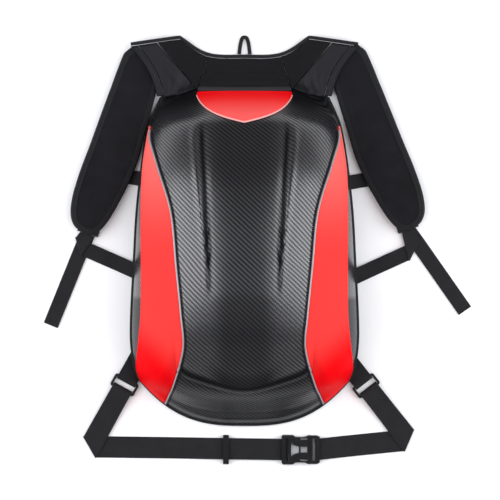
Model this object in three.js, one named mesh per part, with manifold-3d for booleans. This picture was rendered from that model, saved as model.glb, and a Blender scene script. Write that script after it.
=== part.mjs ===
import * as THREE from 'three';
import { mergeVertices } from 'three/addons/utils/BufferGeometryUtils.js';
import Module from 'manifold-3d';

// Hard shell backpack lying on its back, in millimetres. The shell's crown faces +Z and the
// head end faces +Y. The origin is the centre of the back panel's outer face.

// Clearance between pieces that touch, the gap under cloth laid over the shell, and how far a
// skin's own facets stay off the shell's
const fit = 0.3;
const clothGap = 1.6;
const skinSeat = 0.8;

// Moulded shell and back panel
const shellLength = 474;
const shellHalfWidth = 157;
const shellDepth = 146;
const shellWall = 3.5;
const backPanelThickness = 8;
const edgeBow = 2.8;
const crownPower = 2.5;

// Lines moulded into the shell: two ridges beside a sunk centre panel, and the dome's lower crease
const grooveHalfTop = 53;
const grooveHalfLow = 45;
const ridgeRunTop = 16;
const ridgeRunLow = 4;
const panelSink = 5;
const sinkSpan = { lowEnd: -0.25, low: 0.04, high: 0.62, highEnd: 0.79 };
const creaseStep = 9;
const creaseRun = 8;
const creaseShape = { lowest: -0.77, rise: 0.34, hook: 0.35, hookPower: 11, fade: 0.9, fadeEnd: 1.12 };
const reliefFloor = 10;
const reliefFull = 40;

// Skins and trims on the shell
const skinThickness = 1.2;
const pipingWidth = 3;
const pipingThickness = 1.6;
const badgeLength = 46;
const bindingWidth = 3.6;
const bindingHeight = 6.4;

// Yoke
const yokeThickness = 3.5;
const satinThickness = 2;
const hemWidth = 10;
const neckBindingWidth = 5;
const neckBindingThickness = 5;
const stripWidth = 6;

// Shoulder straps
const strapLength = 241;
const strapHalfWidth = 35;
const strapThickness = 10;
const strapBindingThickness = 1.2;
const outerBindingWraps = 3;
const innerBindingWraps = 2;
const strapFloorGap = 2.3;
const strapSquash = 0.35;

// Webbing and hang loop
const webThickness = 1.6;
const sideWebWidth = 21;
const tailLength = 138;
const upperWebReach = 42;
const loopLength = 27;
const loopWebWidth = 6.5;
const loopHalfGap = 4.2;
const loopLift = 1.9;
const adjusterLength = 13;
const adjusterWidth = 30;
const adjusterThickness = 5.4;
const adjusterSetback = 1;
const webRootHeight = 4.2;
const webSag = 3.5;

// Hip belt and its fittings
const beltWidth = 30;
const beltEase = 0.6;
const beltRun = 36;
const beltFlatEnd = 9;
const beltReturn = 12;
const beltDrop = 36.8;
const ringLength = 37;
const ringWidth = 19;
const ringBar = 3.6;
const tabReach = 4;
const sliderX = -26;
const sliderWidth = 8;
const sliderLength = 41;
const sliderWall = 2.6;
const buckleX = 52;
const socketLength = 39;
const buckleWidth = 41;
const buckleThickness = 9;
const plugLength = 14;
const tongueLength = 9;
const tongueWidth = 22;
const tongueThickness = 5;
const buckleSlot = 3.4;
const buckleWindowHalf = 4.4;
const buckleCorner = 1.8;

// Sections of the shell from its top rim to its bottom rim. centre and rim are heights up the
// back as shares of shellLength, half is a share of shellHalfWidth, crown a share of shellDepth,
// and redIn and redOut bound the side panel as shares of the section's own half width.
const sections = [
  { centre: 1.0, rim: 0.958, half: 0.74, crown: 0.0, redIn: 0.99, redOut: 1.0 },
  { centre: 0.975, rim: 0.919, half: 0.794, crown: 0.12, redIn: 0.985, redOut: 0.995 },
  { centre: 0.928, rim: 0.881, half: 0.839, crown: 0.38, redIn: 0.98, redOut: 0.99 },
  { centre: 0.871, rim: 0.831, half: 0.872, crown: 0.65, redIn: 0.955, redOut: 0.985 },
  { centre: 0.766, rim: 0.743, half: 0.912, crown: 0.86, redIn: 0.827, redOut: 0.98 },
  { centre: 0.624, rim: 0.616, half: 0.952, crown: 0.96, redIn: 0.662, redOut: 0.945 },
  { centre: 0.471, rim: 0.468, half: 0.976, crown: 1.0, redIn: 0.596, redOut: 0.916 },
  { centre: 0.331, rim: 0.33, half: 0.997, crown: 0.96, redIn: 0.543, redOut: 0.9 },
  { centre: 0.231, rim: 0.247, half: 1.0, crown: 0.88, redIn: 0.525, redOut: 0.924 },
  { centre: 0.116, rim: 0.182, half: 0.979, crown: 0.68, redIn: 0.623, redOut: 0.975 },
  { centre: 0.054, rim: 0.155, half: 0.957, crown: 0.36, redIn: 0.697, redOut: 0.985 },
  { centre: 0.0, rim: 0.135, half: 0.933, crown: 0.0, redIn: 0.757, redOut: 0.985 },
];
const redTipRow = 2.2;
const lastRow = sections.length - 1;

// Yoke outline, one row for each seam from the centre to the hem. x values are shares of
// shellHalfWidth and y values are shares of the shell's half length.
const yokeSeams = {
  centre: { lowX: 0.0, lowY: 0.955, highX: 0.0, highY: 1.181 },
  panel: { lowX: 0.416, lowY: 0.963, highX: 0.327, highY: 1.193 },
  corner: { lowX: 0.416, lowY: 0.963, highX: 0.572, highY: 1.289 },
  satin: { lowX: 0.416, lowY: 0.963, highX: 0.773, highY: 1.262 },
  hem: { lowX: 0.777, lowY: 0.93, highX: 1.012, highY: 1.247 },
};
const hemBulge = 7;
const drapeSlope = 1.1;
const drapeBlend = 5;
const drapeFloor = 0.9;
const meshFoot = 2;

// Outline of a shoulder strap. at is a share of strapLength from where the strap leaves the
// yoke, outer and inner are shares of strapHalfWidth, lift is a share of adjusterThickness.
const strapOutline = [
  { at: -0.12, outer: 0.62, inner: 0.78, lift: 0 },
  { at: -0.07, outer: 0.84, inner: 0.8, lift: 0 },
  { at: 0.14, outer: 0.91, inner: 0.9, lift: 0 },
  { at: 0.32, outer: 0.96, inner: 0.96, lift: 0 },
  { at: 0.5, outer: 1.0, inner: 1.03, lift: 0 },
  { at: 0.66, outer: 1.05, inner: 0.95, lift: 0.15 },
  { at: 0.8, outer: 1.03, inner: 0.8, lift: 0.65 },
  { at: 0.88, outer: 0.95, inner: 0.67, lift: 0.75 },
  { at: 0.94, outer: 0.8, inner: 0.52, lift: 0.75 },
  { at: 0.98, outer: 0.55, inner: 0.33, lift: 0.75 },
  { at: 1.0, outer: 0.16, inner: 0.1, lift: 0.75 },
];

// How each side lies. Places are shares of shellHalfWidth across and of the half length up the
// back, and angles are degrees outward from straight down. A side web folds beyond the strap's end,
// by shares of sideWebWidth. A ring stands off by shares of tabReach, and the belt runs straight
// from it to a fold above its own line by a share of beltWidth.
const sides = [
  {
    name: 'left', hand: -1,
    strap: { x: 0.93, y: 1.083, splay: 18 },
    upperWeb: { x: 0.925, y: 0.445, splay: 80 },
    sideWeb: { x: 0.99, y: -0.096, foldOut: 0.55, foldDrop: 0.78 },
    tailSplay: 22,
    ring: { x: 1.038, y: -0.733, splay: 29, reach: 1 },
    foldRise: 0.12,
  },
  {
    name: 'right', hand: 1,
    strap: { x: 0.943, y: 1.095, splay: 20 },
    upperWeb: { x: 0.965, y: 0.427, splay: 80 },
    sideWeb: { x: 1.02, y: -0.123, foldOut: 0.313, foldDrop: 1.29 },
    tailSplay: 35,
    ring: { x: 1.068, y: -0.763, splay: 38, reach: 2.2 },
    foldRise: 0.437,
  },
];

const halfLength = shellLength / 2;
const rimHeight = backPanelThickness + fit;
const beltY = -halfLength - beltDrop;
const badgeHalfWidth = yokeSeams.panel.lowX * shellHalfWidth + 2 * fit;
const floorWeb = fit + webThickness / 2;
const secondWeb = floorWeb + webThickness + fit;
const thirdWeb = secondWeb + webThickness + fit;
const strapTop = strapFloorGap + strapThickness;

const up = new THREE.Vector3(0, 0, 1);
const point = (x, y, z) => new THREE.Vector3(x, y, z);
const mix = THREE.MathUtils.lerp;
const clamp = THREE.MathUtils.clamp;
const smooth = THREE.MathUtils.smoothstep;
const radians = THREE.MathUtils.degToRad;

// Materials

function look(color, roughness, metalness = 0) {
  return new THREE.MeshStandardMaterial({ color, roughness, metalness });
}
const looks = {
  carbon: () => look(0x26262a, 0.45),
  red: () => look(0xf03030, 0.5),
  grey: () => look(0xc9c9cc, 0.5),
  cloth: () => look(0x141416, 0.9),
  satin: () => look(0x1c1c1f, 0.6),
  web: () => look(0x1a1a1c, 0.85),
  plastic: () => look(0x101012, 0.4),
};

// Closed solids from grids of points

const part = new THREE.Group();

function addMesh(name, material, geometry) {
  const mesh = new THREE.Mesh(geometry, material());
  mesh.name = name;
  part.add(mesh);
  return mesh;
}

function signedVolume(points, faces) {
  return faces.reduce((sum, [a, b, c]) => {
    return sum + points[a].dot(points[b].clone().cross(points[c])) / 6;
  }, 0);
}

function closedGeometry(points, faces) {
  const outward = signedVolume(points, faces) > 0;
  const index = faces.flatMap(([a, b, c]) => (outward ? [a, b, c] : [a, c, b]));
  const geometry = new THREE.BufferGeometry().setFromPoints(points);
  geometry.setIndex(index);
  geometry.computeVertexNormals();
  return geometry;
}

// A sheet with thickness: top and bottom are functions of a column and a row.
function sheet(columns, rows, top, bottom) {
  const points = [];
  const faces = [];
  for (const side of [top, bottom]) {
    for (let j = 0; j < rows; j += 1) {
      for (let i = 0; i < columns; i += 1) points.push(side(i, j));
    }
  }
  const upper = (i, j) => j * columns + i;
  const lower = (i, j) => columns * rows + upper(i, j);
  const quad = (a, b, c, d) => faces.push([a, b, c], [a, c, d]);
  for (let j = 0; j < rows - 1; j += 1) {
    for (let i = 0; i < columns - 1; i += 1) {
      quad(upper(i, j), upper(i + 1, j), upper(i + 1, j + 1), upper(i, j + 1));
      quad(lower(i, j), lower(i, j + 1), lower(i + 1, j + 1), lower(i + 1, j));
    }
  }
  for (let i = 0; i < columns - 1; i += 1) {
    quad(upper(i + 1, 0), upper(i, 0), lower(i, 0), lower(i + 1, 0));
    quad(upper(i, rows - 1), upper(i + 1, rows - 1), lower(i + 1, rows - 1), lower(i, rows - 1));
  }
  for (let j = 0; j < rows - 1; j += 1) {
    quad(upper(0, j), upper(0, j + 1), lower(0, j + 1), lower(0, j));
    const end = columns - 1;
    quad(upper(end, j + 1), upper(end, j), lower(end, j), lower(end, j + 1));
  }
  return closedGeometry(points, faces);
}

// A run of closed sections, capped at its ends or joined into a ring.
function tube(count, sidesCount, place, ring = false) {
  const points = [];
  const faces = [];
  for (let i = 0; i < count; i += 1) {
    for (let j = 0; j < sidesCount; j += 1) points.push(place(i, j));
  }
  const at = (i, j) => (i % count) * sidesCount + (j % sidesCount);
  const spans = ring ? count : count - 1;
  for (let i = 0; i < spans; i += 1) {
    for (let j = 0; j < sidesCount; j += 1) {
      faces.push([at(i, j), at(i + 1, j), at(i + 1, j + 1)], [at(i, j), at(i + 1, j + 1), at(i, j + 1)]);
    }
  }
  if (!ring) {
    for (let j = 1; j < sidesCount - 1; j += 1) {
      faces.push([at(0, 0), at(0, j), at(0, j + 1)]);
      faces.push([at(count - 1, 0), at(count - 1, j + 1), at(count - 1, j)]);
    }
  }
  return closedGeometry(points, faces);
}

// A value read from a table's column at a fractional row, on a smooth curve.
function readRow(table, key, row) {
  const curve = new THREE.SplineCurve(table.map((entry) => new THREE.Vector2(0, entry[key])));
  return curve.getPoint(clamp(row / (table.length - 1), 0, 1)).y;
}

// The same at a value of the table's at column.
function readAt(table, key, value) {
  const last = table.length - 1;
  const next = clamp(table.findIndex((entry) => entry.at > value), 1, last);
  const span = value >= table[last].at ? last : next;
  const low = table[span - 1].at;
  return readRow(table, key, span - 1 + (value - low) / (table[span].at - low));
}

// Shell surface

function sectionAt(row) {
  const key = (name) => readRow(sections, name, row);
  return {
    centre: key('centre'), rim: key('rim'), half: key('half'), crown: Math.max(0, key('crown')),
  };
}

function sinkOfCentrePanel(x, y) {
  const share = y / halfLength;
  const rise = smooth(share, sinkSpan.lowEnd, sinkSpan.low);
  const along = rise * (1 - smooth(share, sinkSpan.high, sinkSpan.highEnd));
  const groove = mix(grooveHalfLow, grooveHalfTop, clamp((share + 0.2) / 0.9, 0, 1));
  const run = mix(ridgeRunLow, ridgeRunTop, clamp((share + 0.12) / 0.75, 0, 1));
  return panelSink * along * (1 - smooth(Math.abs(x), groove, groove + run));
}

// The step fades out before it reaches the side panel, whose inner edge is at limit.
function stepBelowCrease(x, y, limit) {
  const { lowest, rise, hook, hookPower, fade, fadeEnd } = creaseShape;
  const half = limit / fadeEnd;
  const share = Math.min(fadeEnd, Math.abs(x) / half);
  const line = lowest * halfLength + half * (rise * share + hook * share ** hookPower);
  return creaseStep * smooth(line - y, 0, creaseRun) * (1 - smooth(share, fade, fadeEnd));
}

function shellPlan(across, row) {
  const section = sectionAt(row);
  const x = across * section.half * shellHalfWidth;
  const share = mix(section.centre, section.rim, Math.abs(across) ** edgeBow);
  return { x, y: shellLength * share - halfLength, crown: section.crown };
}

function shellPoint(across, row) {
  const { x, y, crown } = shellPlan(across, row);
  const profile = Math.sqrt(Math.max(0, 1 - Math.abs(across) ** crownPower));
  const height = shellDepth * crown * profile;
  const redStart = readRow(sections, 'redIn', row) * sectionAt(row).half * shellHalfWidth;
  const relief = sinkOfCentrePanel(x, y) + stepBelowCrease(x, y, redStart);
  return point(x, y, rimHeight + Math.max(0, height - relief * smooth(height, reliefFloor, reliefFull)));
}

function shellNormal(across, row) {
  const small = 0.004;
  const a = clamp(across, -1 + small, 1 - small);
  const t = clamp(row, small, lastRow - small);
  const alongX = shellPoint(a + small, t).sub(shellPoint(a - small, t));
  const alongY = shellPoint(a, t - small).sub(shellPoint(a, t + small));
  return alongX.cross(alongY).normalize();
}

// A place above the shell's surface, measured square to it; at the rim it moves level.
function offShell(across, row, distance) {
  const normal = shellNormal(across, row);
  const atRim = Math.abs(across) > 0.9999 || row < 0.0001 || row > lastRow - 0.0001;
  if (atRim) normal.setZ(0).normalize();
  return shellPoint(across, row).addScaledVector(normal, distance);
}

// The row whose section passes through a place in plan.
function rowAt(x, y) {
  let low = 0;
  let high = lastRow;
  for (let step = 0; step < 30; step += 1) {
    const middle = (low + high) / 2;
    const across = x / (sectionAt(middle).half * shellHalfWidth);
    if (shellPlan(clamp(across, -1, 1), middle).y > y) low = middle;
    else high = middle;
  }
  return (low + high) / 2;
}

function placeOnShell(x, y) {
  const row = rowAt(x, y);
  return { across: clamp(x / (sectionAt(row).half * shellHalfWidth), -1, 1), row };
}

function offShellAt(x, y, distance) {
  const { across, row } = placeOnShell(x, y);
  return offShell(across, row, distance);
}

const acrossHalf = [
  0.15, 0.29, 0.335, 0.37, 0.42, 0.5, 0.58, 0.66, 0.74, 0.82, 0.89, 0.94, 0.975, 1,
];
const acrossSteps = [...acrossHalf.map((share) => -share).reverse(), 0, ...acrossHalf];
const rowSteps = [
  0, 0.5, 1, 1.5, 2, 2.5, 3, 3.4, 3.8, 4.3, 4.8, 5.4, 6, 6.6, 7.2, 7.7, 8.1, 8.45,
  8.7, 8.95, 9.2, 9.5, 9.9, 10.3, 10.65, 11,
];

function addShell() {
  const outer = (i, j) => offShell(acrossSteps[i], rowSteps[j], 0);
  const inner = (i, j) => {
    const place = offShell(acrossSteps[i], rowSteps[j], -shellWall);
    return place.setZ(Math.max(rimHeight, place.z));
  };
  addMesh('shell', looks.carbon, sheet(acrossSteps.length, rowSteps.length, outer, inner));
}

const rimSteps = 12;
const bindingLift = (backPanelThickness - bindingHeight) / 2;

// Points round the shell's rim, with the outward direction at each.
function rimLoop(count) {
  const corners = [
    (s) => [mix(-1, 1, s), 0],
    (s) => [1, mix(0, lastRow, s)],
    (s) => [mix(1, -1, s), lastRow],
    (s) => [-1, mix(lastRow, 0, s)],
  ];
  const places = corners.flatMap((edge) => {
    return Array.from({ length: count }, (_, k) => {
      const [across, row] = edge(k / count);
      const { x, y } = shellPlan(across, row);
      return point(x, y, 0);
    });
  });
  return places.map((place, k) => {
    const before = places[(k + places.length - 1) % places.length];
    const after = places[(k + 1) % places.length];
    const outward = after.clone().sub(before).cross(up).normalize().negate();
    return { place, outward };
  });
}

function addBackPanel() {
  const loop = rimLoop(rimSteps);
  const shape = new THREE.Shape(loop.map(({ place }) => new THREE.Vector2(place.x, place.y)));
  const geometry = new THREE.ExtrudeGeometry(shape, {
    depth: backPanelThickness, bevelEnabled: false, curveSegments: 1,
  });
  addMesh('back_panel', looks.cloth, geometry);
}

function addEdgeBinding() {
  const loop = rimLoop(rimSteps);
  const ring = [[0, 0], [0.7, 0], [1, 0.3], [1, 0.7], [0.7, 1], [0, 1]];
  const place = (i, j) => {
    const { place: base, outward } = loop[i];
    const [out, height] = ring[j];
    return base.clone().addScaledVector(outward, fit + out * bindingWidth)
      .setZ(bindingLift + height * bindingHeight);
  };
  addMesh('edge_binding', looks.cloth, tube(loop.length, ring.length, place, true));
}

// Skins on the shell

function redEdge(name, row) {
  return readRow(sections, name, row);
}

function addSidePanel({ name, hand }) {
  const columns = 7;
  const rows = [redTipRow, ...rowSteps.filter((row) => row > redTipRow && row < lastRow), lastRow - 0.02];
  const place = (distance) => (i, j) => {
    const row = rows[j];
    const across = mix(redEdge('redIn', row), redEdge('redOut', row), i / (columns - 1));
    return offShell(hand * Math.min(across, 0.995), row, distance);
  };
  const panel = sheet(columns, rows.length, place(skinSeat + skinThickness), place(skinSeat));
  addMesh(`side_panel_${name}`, looks.red, panel);
}

// A flat strip along a line on the shell, given by where it runs and its width.
function stripOnShell(steps, line, width, thickness) {
  const place = (i, j) => {
    const side = j === 0 || j === 3 ? 0 : 1;
    const lift = (j < 2 ? 0 : thickness) + skinSeat + 1.5 * fit;
    const { x, y, outX, outY } = line(i / (steps - 1));
    return offShellAt(x + outX * width * side, y + outY * width * side, lift);
  };
  return tube(steps, 4, place);
}

function addSidePiping({ name, hand }) {
  const inset = fit * 2;
  const line = (share) => {
    const row = mix(redTipRow + 0.3, lastRow - 0.06, share);
    const small = 0.02;
    const here = shellPlan(redEdge('redIn', row), row);
    const next = shellPlan(redEdge('redIn', row + small), row + small);
    const tangent = new THREE.Vector2(next.x - here.x, next.y - here.y).normalize();
    const inward = new THREE.Vector2(tangent.y, -tangent.x);
    if (inward.x > 0) inward.negate();
    return {
      x: hand * (here.x + inward.x * inset),
      y: here.y + inward.y * inset,
      outX: hand * inward.x,
      outY: inward.y,
    };
  };
  addMesh(`piping_${name}`, looks.grey, stripOnShell(30, line, pipingWidth, pipingThickness));
}

// Badge outline below the yoke: a shallow shield with a soft point
const badgeTop = halfLength * 0.948;

function badgeLow(share) {
  const across = Math.abs(share);
  return badgeLength * (1 - 0.3 * across - 0.7 * across ** 4);
}

function addBadge() {
  const columns = 15;
  const rows = 7;
  const place = (distance) => (i, j) => {
    const share = Math.sin(mix(-1, 1, i / (columns - 1)) * Math.PI / 2) * 0.985;
    const drop = badgeLow(share) * (j / (rows - 1)) ** 0.9;
    return offShellAt(share * badgeHalfWidth, badgeTop - drop, distance);
  };
  addMesh('badge', looks.red, sheet(columns, rows, place(skinSeat + skinThickness), place(skinSeat)));
}

function addBadgePiping() {
  const line = (share) => {
    const across = Math.sin(mix(-1, 1, share) * Math.PI / 2) * 0.985;
    const small = 0.01;
    const slope = (badgeLow(across - small) - badgeLow(across + small)) / (2 * small * badgeHalfWidth);
    const out = new THREE.Vector2(slope, -1).normalize();
    return {
      x: across * badgeHalfWidth + out.x * fit * 3,
      y: badgeTop - badgeLow(across) + out.y * fit * 3,
      outX: out.x,
      outY: out.y,
    };
  };
  addMesh('badge_piping', looks.grey, stripOnShell(28, line, pipingWidth * 0.6, pipingThickness));
}

// Yoke: cloth laid from the shell's top slope down to the floor, and over the straps

function drapeHeight(x, y) {
  const row = rowAt(x, y);
  const half = sectionAt(row).half * shellHalfWidth;
  const edge = shellPlan(clamp(x / half, -1, 1), row);
  const beyond = Math.max(0, y - edge.y) + Math.max(0, Math.abs(x) - half);
  const surface = shellPoint(clamp(x / half, -1, 1), row).z - beyond * drapeSlope + clothGap;
  const overStrap = strapTop + fit + clothGap;
  const rest = mix(drapeFloor, overStrap, smooth(Math.abs(x) / shellHalfWidth, 0.42, 0.66));
  const difference = surface - rest;
  return rest + (difference + Math.sqrt(difference ** 2 + drapeBlend ** 2)) / 2;
}

function drapePoint(x, y, distance) {
  const small = 0.5;
  const slopeX = (drapeHeight(x + small, y) - drapeHeight(x - small, y)) / (2 * small);
  const slopeY = (drapeHeight(x, y + small) - drapeHeight(x, y - small)) / (2 * small);
  const normal = point(-slopeX, -slopeY, 1).normalize();
  return point(x, y, drapeHeight(x, y)).addScaledVector(normal, distance);
}

const seamPoint = (seam, share, hand = 1) => ({
  x: hand * mix(seam.lowX, seam.highX, share) * shellHalfWidth,
  y: mix(seam.lowY, seam.highY, share) * halfLength,
});

// The neck edge from wing tip to wing tip
function neckLine() {
  const order = [yokeSeams.hem, yokeSeams.satin, yokeSeams.corner, yokeSeams.panel];
  const half = (hand) => order.map((seam) => {
    const { x, y } = seamPoint(seam, 1, hand);
    return point(x, y, 0);
  });
  const middle = point(0, yokeSeams.centre.highY * halfLength, 0);
  const places = [...half(-1), middle, ...half(1).reverse()];
  return new THREE.CatmullRomCurve3(places, false, 'centripetal');
}
const neckCurve = neckLine();

// How far up the cloth of the yoke reaches at x, inside the neck binding
function clothTop(x) {
  let low = 0;
  let high = 1;
  for (let step = 0; step < 24; step += 1) {
    const middle = (low + high) / 2;
    if (neckCurve.getPoint(middle).x < x) low = middle;
    else high = middle;
  }
  const lean = Math.abs(neckCurve.getTangent(low).x);
  return neckCurve.getPoint(low).y - (neckBindingWidth + 3 * fit) / lean;
}

// A panel of the yoke between two seams: low and high hold its corners' x from one side to the
// other, and its upper edge follows the neck binding.
function yokePanel(columns, rows, low, high, bulge, thickness) {
  const place = (distance) => (i, j) => {
    const share = i / (columns - 1);
    const rise = j / (rows - 1);
    const foot = low(share);
    const topX = high(share);
    const x = mix(foot.x, topX, rise) - bulge(share) * Math.sin(Math.PI * rise);
    return drapePoint(x, mix(foot.y, clothTop(topX), rise), distance);
  };
  return sheet(columns, rows, place(thickness), place(0));
}

const seamX = (seam, share) => mix(seam.lowX, seam.highX, share) * shellHalfWidth;
const flat = () => 0;

// The lower edge of the yoke between the two panel seams, dipping in the middle
function yokeFoot(share) {
  const side = Math.abs(2 * share - 1);
  return mix(yokeSeams.centre.lowY, yokeSeams.panel.lowY, side * side) * halfLength;
}

function addYokeCentre() {
  const halfLow = seamX(yokeSeams.panel, stripRise) - fit;
  const halfHigh = seamX(yokeSeams.panel, 1) - fit;
  const low = (share) => ({
    x: mix(-halfLow, halfLow, share), y: yokeFoot(share) + stripWidth + fit,
  });
  const high = (share) => mix(-halfHigh, halfHigh, share);
  addMesh('yoke_centre', looks.cloth, yokePanel(11, 7, low, high, flat, yokeThickness));
}

const stripRise = stripWidth / ((yokeSeams.panel.highY - yokeSeams.panel.lowY) * halfLength);

function addYokeStrip() {
  const columns = 11;
  const place = (distance) => (i, j) => {
    const share = i / (columns - 1);
    const half = seamX(yokeSeams.panel, j * stripRise) - fit;
    return drapePoint(mix(-half, half, share), yokeFoot(share) + j * stripWidth, distance);
  };
  addMesh('yoke_strip', looks.satin, sheet(columns, 2, place(satinThickness), place(0)));
}

function addYokeSide({ name, hand }) {
  const seamY = yokeSeams.panel.lowY * halfLength + stripWidth * 0.5;
  const meshLow = [fit, meshFoot].map((inset) => hand * (seamX(yokeSeams.panel, 0) + inset));
  const meshHigh = [yokeSeams.panel, yokeSeams.corner, yokeSeams.satin].map((seam) => {
    return hand * (seamX(seam, 1) + fit);
  });
  const highMesh = (share) => {
    const span = share < 0.5 ? 0 : 1;
    return mix(meshHigh[span], meshHigh[span + 1], share * 2 - span);
  };
  const lowMesh = (share) => ({ x: mix(meshLow[0], meshLow[1], share), y: seamY });
  const mesh = yokePanel(7, 6, lowMesh, highMesh, flat, yokeThickness);
  addMesh(`yoke_mesh_${name}`, looks.cloth, mesh);

  const hemLow = (inset) => ({
    x: hand * (seamX(yokeSeams.hem, 0) - inset),
    y: yokeSeams.hem.lowY * halfLength,
  });
  const hemHigh = (inset) => hand * (seamX(yokeSeams.hem, 1) - inset);
  const satinLow = (share) => {
    const corner = hemLow(hemWidth + fit);
    const drop = Math.sin(share * Math.PI / 2);
    return { x: mix(meshLow[1] + hand * 3 * fit, corner.x, share), y: mix(seamY, corner.y, drop) };
  };
  const satinHigh = (share) => mix(meshHigh[2] + hand * 3 * fit, hemHigh(hemWidth + fit), share);
  const bulge = (share) => hand * hemBulge * share;
  const satin = yokePanel(8, 8, satinLow, satinHigh, bulge, satinThickness);
  addMesh(`yoke_wing_${name}`, looks.satin, satin);

  const hemFoot = (share) => hemLow(hemWidth * (1 - share));
  const hemTop = (share) => hemHigh(hemWidth * (1 - share));
  const hem = yokePanel(3, 8, hemFoot, hemTop, () => hand * hemBulge, satinThickness * 1.3);
  addMesh(`yoke_hem_${name}`, looks.satin, hem);
}

function addNeckBinding() {
  const count = 41;
  const place = (i, j) => {
    const share = i / (count - 1);
    const base = neckCurve.getPoint(share);
    const tangent = neckCurve.getTangent(share);
    const inward = tangent.clone().cross(up).normalize();
    const side = j === 0 || j === 3 ? 0 : 1;
    const lift = j < 2 ? 0 : neckBindingThickness;
    const spot = base.addScaledVector(inward, side * (neckBindingWidth - fit));
    return drapePoint(spot.x, spot.y, 0).add(point(0, 0, lift));
  };
  addMesh('neck_binding', looks.cloth, tube(count, 4, place));
}

// Shoulder straps

function strapFrame({ hand, strap }) {
  const start = point(hand * strap.x * shellHalfWidth, strap.y * halfLength, 0);
  const angle = radians(strap.splay);
  const along = point(hand * Math.sin(angle), -Math.cos(angle), 0);
  const outward = point(hand * Math.cos(angle), Math.sin(angle), 0);
  return { start, along, outward };
}

// A point on the strap's skin: around runs once round the section from the outer edge over the
// top to the inner edge and back underneath.
function strapSkin(side, at, around, offset) {
  const { start, along, outward } = strapFrame(side);
  const outer = readAt(strapOutline, 'outer', at) * strapHalfWidth;
  const inner = readAt(strapOutline, 'inner', at) * strapHalfWidth;
  const lift = readAt(strapOutline, 'lift', at) * adjusterThickness;
  const angle = around * 2 * Math.PI;
  const shape = (value) => Math.sign(value) * Math.abs(value) ** strapSquash;
  const middle = (outer - inner) / 2;
  const reach = (outer + inner) / 2;
  const fadeEnd = mix(0.55, 1, Math.sqrt(clamp((1.002 - at) / 0.06, 0, 1)));
  const thin = strapThickness * (at < 0.05 ? 0.8 : 1) * fadeEnd;
  const width = middle + (reach + offset) * shape(Math.cos(angle));
  const height = strapFloorGap + lift + thin / 2 + (thin / 2 + offset) * shape(Math.sin(angle));
  return start.clone().addScaledVector(along, at * strapLength).addScaledVector(outward, width)
    .setZ(height);
}

const strapStations = [-0.12, -0.07, 0, 0.14, 0.26, 0.38, 0.5, 0.6, 0.7, 0.79, 0.87, 0.92, 0.96, 0.985, 1];
const strapAround = 16;

function addStrap(side) {
  const edge = strapBindingThickness + fit;
  const place = (i, j) => strapSkin(side, Math.min(strapStations[i], 0.994), j / strapAround, -edge);
  const geometry = tube(strapStations.length, strapAround, place);
  addMesh(`shoulder_strap_${side.name}`, looks.cloth, geometry);
}

// The binding wraps an edge of the strap, from the top face round to the underside. wraps is how
// many of the section's corners it reaches on each face.
function addStrapBinding(side, edgeName, edgeTurn, wraps) {
  const stations = strapStations.filter((at) => at > -0.1);
  const place = (offset) => (i, j) => {
    const around = edgeTurn + (i - wraps) / strapAround;
    return strapSkin(side, Math.min(stations[j], 0.995), around, offset);
  };
  const geometry = sheet(2 * wraps + 1, stations.length, place(0), place(-strapBindingThickness));
  addMesh(`strap_binding_${edgeName}_${side.name}`, looks.satin, geometry);
}

// Webbing

// A flat band along a path. across holds the half-width direction at each path point, already
// as long as the band's half width there.
function band(path, across, thickness) {
  const place = (i, j) => {
    const before = path[Math.max(0, i - 1)];
    const after = path[Math.min(path.length - 1, i + 1)];
    const tangent = after.clone().sub(before);
    const normal = tangent.cross(across[i]).normalize();
    const side = j === 0 || j === 3 ? -1 : 1;
    const face = j < 2 ? -1 : 1;
    return path[i].clone().addScaledVector(across[i], side)
      .addScaledVector(normal, face * thickness / 2);
  };
  return tube(path.length, 4, place);
}

function straightBand(path, direction, width) {
  const across = up.clone().cross(direction).setLength(width / 2);
  return band(path, path.map(() => across), webThickness);
}

// The turn of a band folded flat on itself: a half circle about the fold's own line.
function foldTurn(centre, from, to, width, lowZ, highZ) {
  const axis = from.clone().add(to).normalize();
  const left = up.clone().cross(from).normalize();
  const sense = Math.sign(axis.dot(left));
  const across = axis.clone().multiplyScalar(sense * width / 2 / Math.abs(axis.clone().cross(from).z));
  const out = from.clone().addScaledVector(axis, -from.dot(axis)).normalize();
  const radius = (highZ - lowZ) / 2;
  const steps = 5;
  const path = Array.from({ length: steps }, (_, k) => {
    const angle = (k / (steps - 1)) * Math.PI;
    return centre.clone().addScaledVector(out, radius * Math.sin(angle))
      .setZ((lowZ + highZ) / 2 - radius * Math.cos(angle));
  });
  const after = up.clone().cross(to).normalize();
  const nextSense = Math.sign(across.dot(after));
  return { path, across, next: after.multiplyScalar(nextSense * width / 2) };
}

// Where a band of some width, drawn in towards the shell from outside, meets the edge binding
const rimOutline = rimLoop(rimSteps);

function insideRim(place, margin) {
  let inside = false;
  const count = rimOutline.length;
  for (let k = 0; k < count; k += 1) {
    const a = rimOutline[k].place.clone().addScaledVector(rimOutline[k].outward, margin);
    const b = rimOutline[(k + 1) % count].place.clone()
      .addScaledVector(rimOutline[(k + 1) % count].outward, margin);
    const crosses = (a.y > place.y) !== (b.y > place.y);
    if (crosses && place.x < a.x + ((place.y - a.y) / (b.y - a.y)) * (b.x - a.x)) inside = !inside;
  }
  return inside;
}

function meetRim(outside, outward, width) {
  const across = up.clone().cross(outward).setLength(width / 2);
  const stride = 0.1;
  const blocked = (place) => [-1, -0.5, 0, 0.5, 1].some((share) => {
    return insideRim(place.clone().addScaledVector(across, share), bindingWidth + 2 * fit);
  });
  const place = outside.clone();
  for (let k = 0; k < shellHalfWidth / stride && !blocked(place); k += 1) {
    place.addScaledVector(outward, -stride);
  }
  return place.addScaledVector(outward, stride);
}

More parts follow.
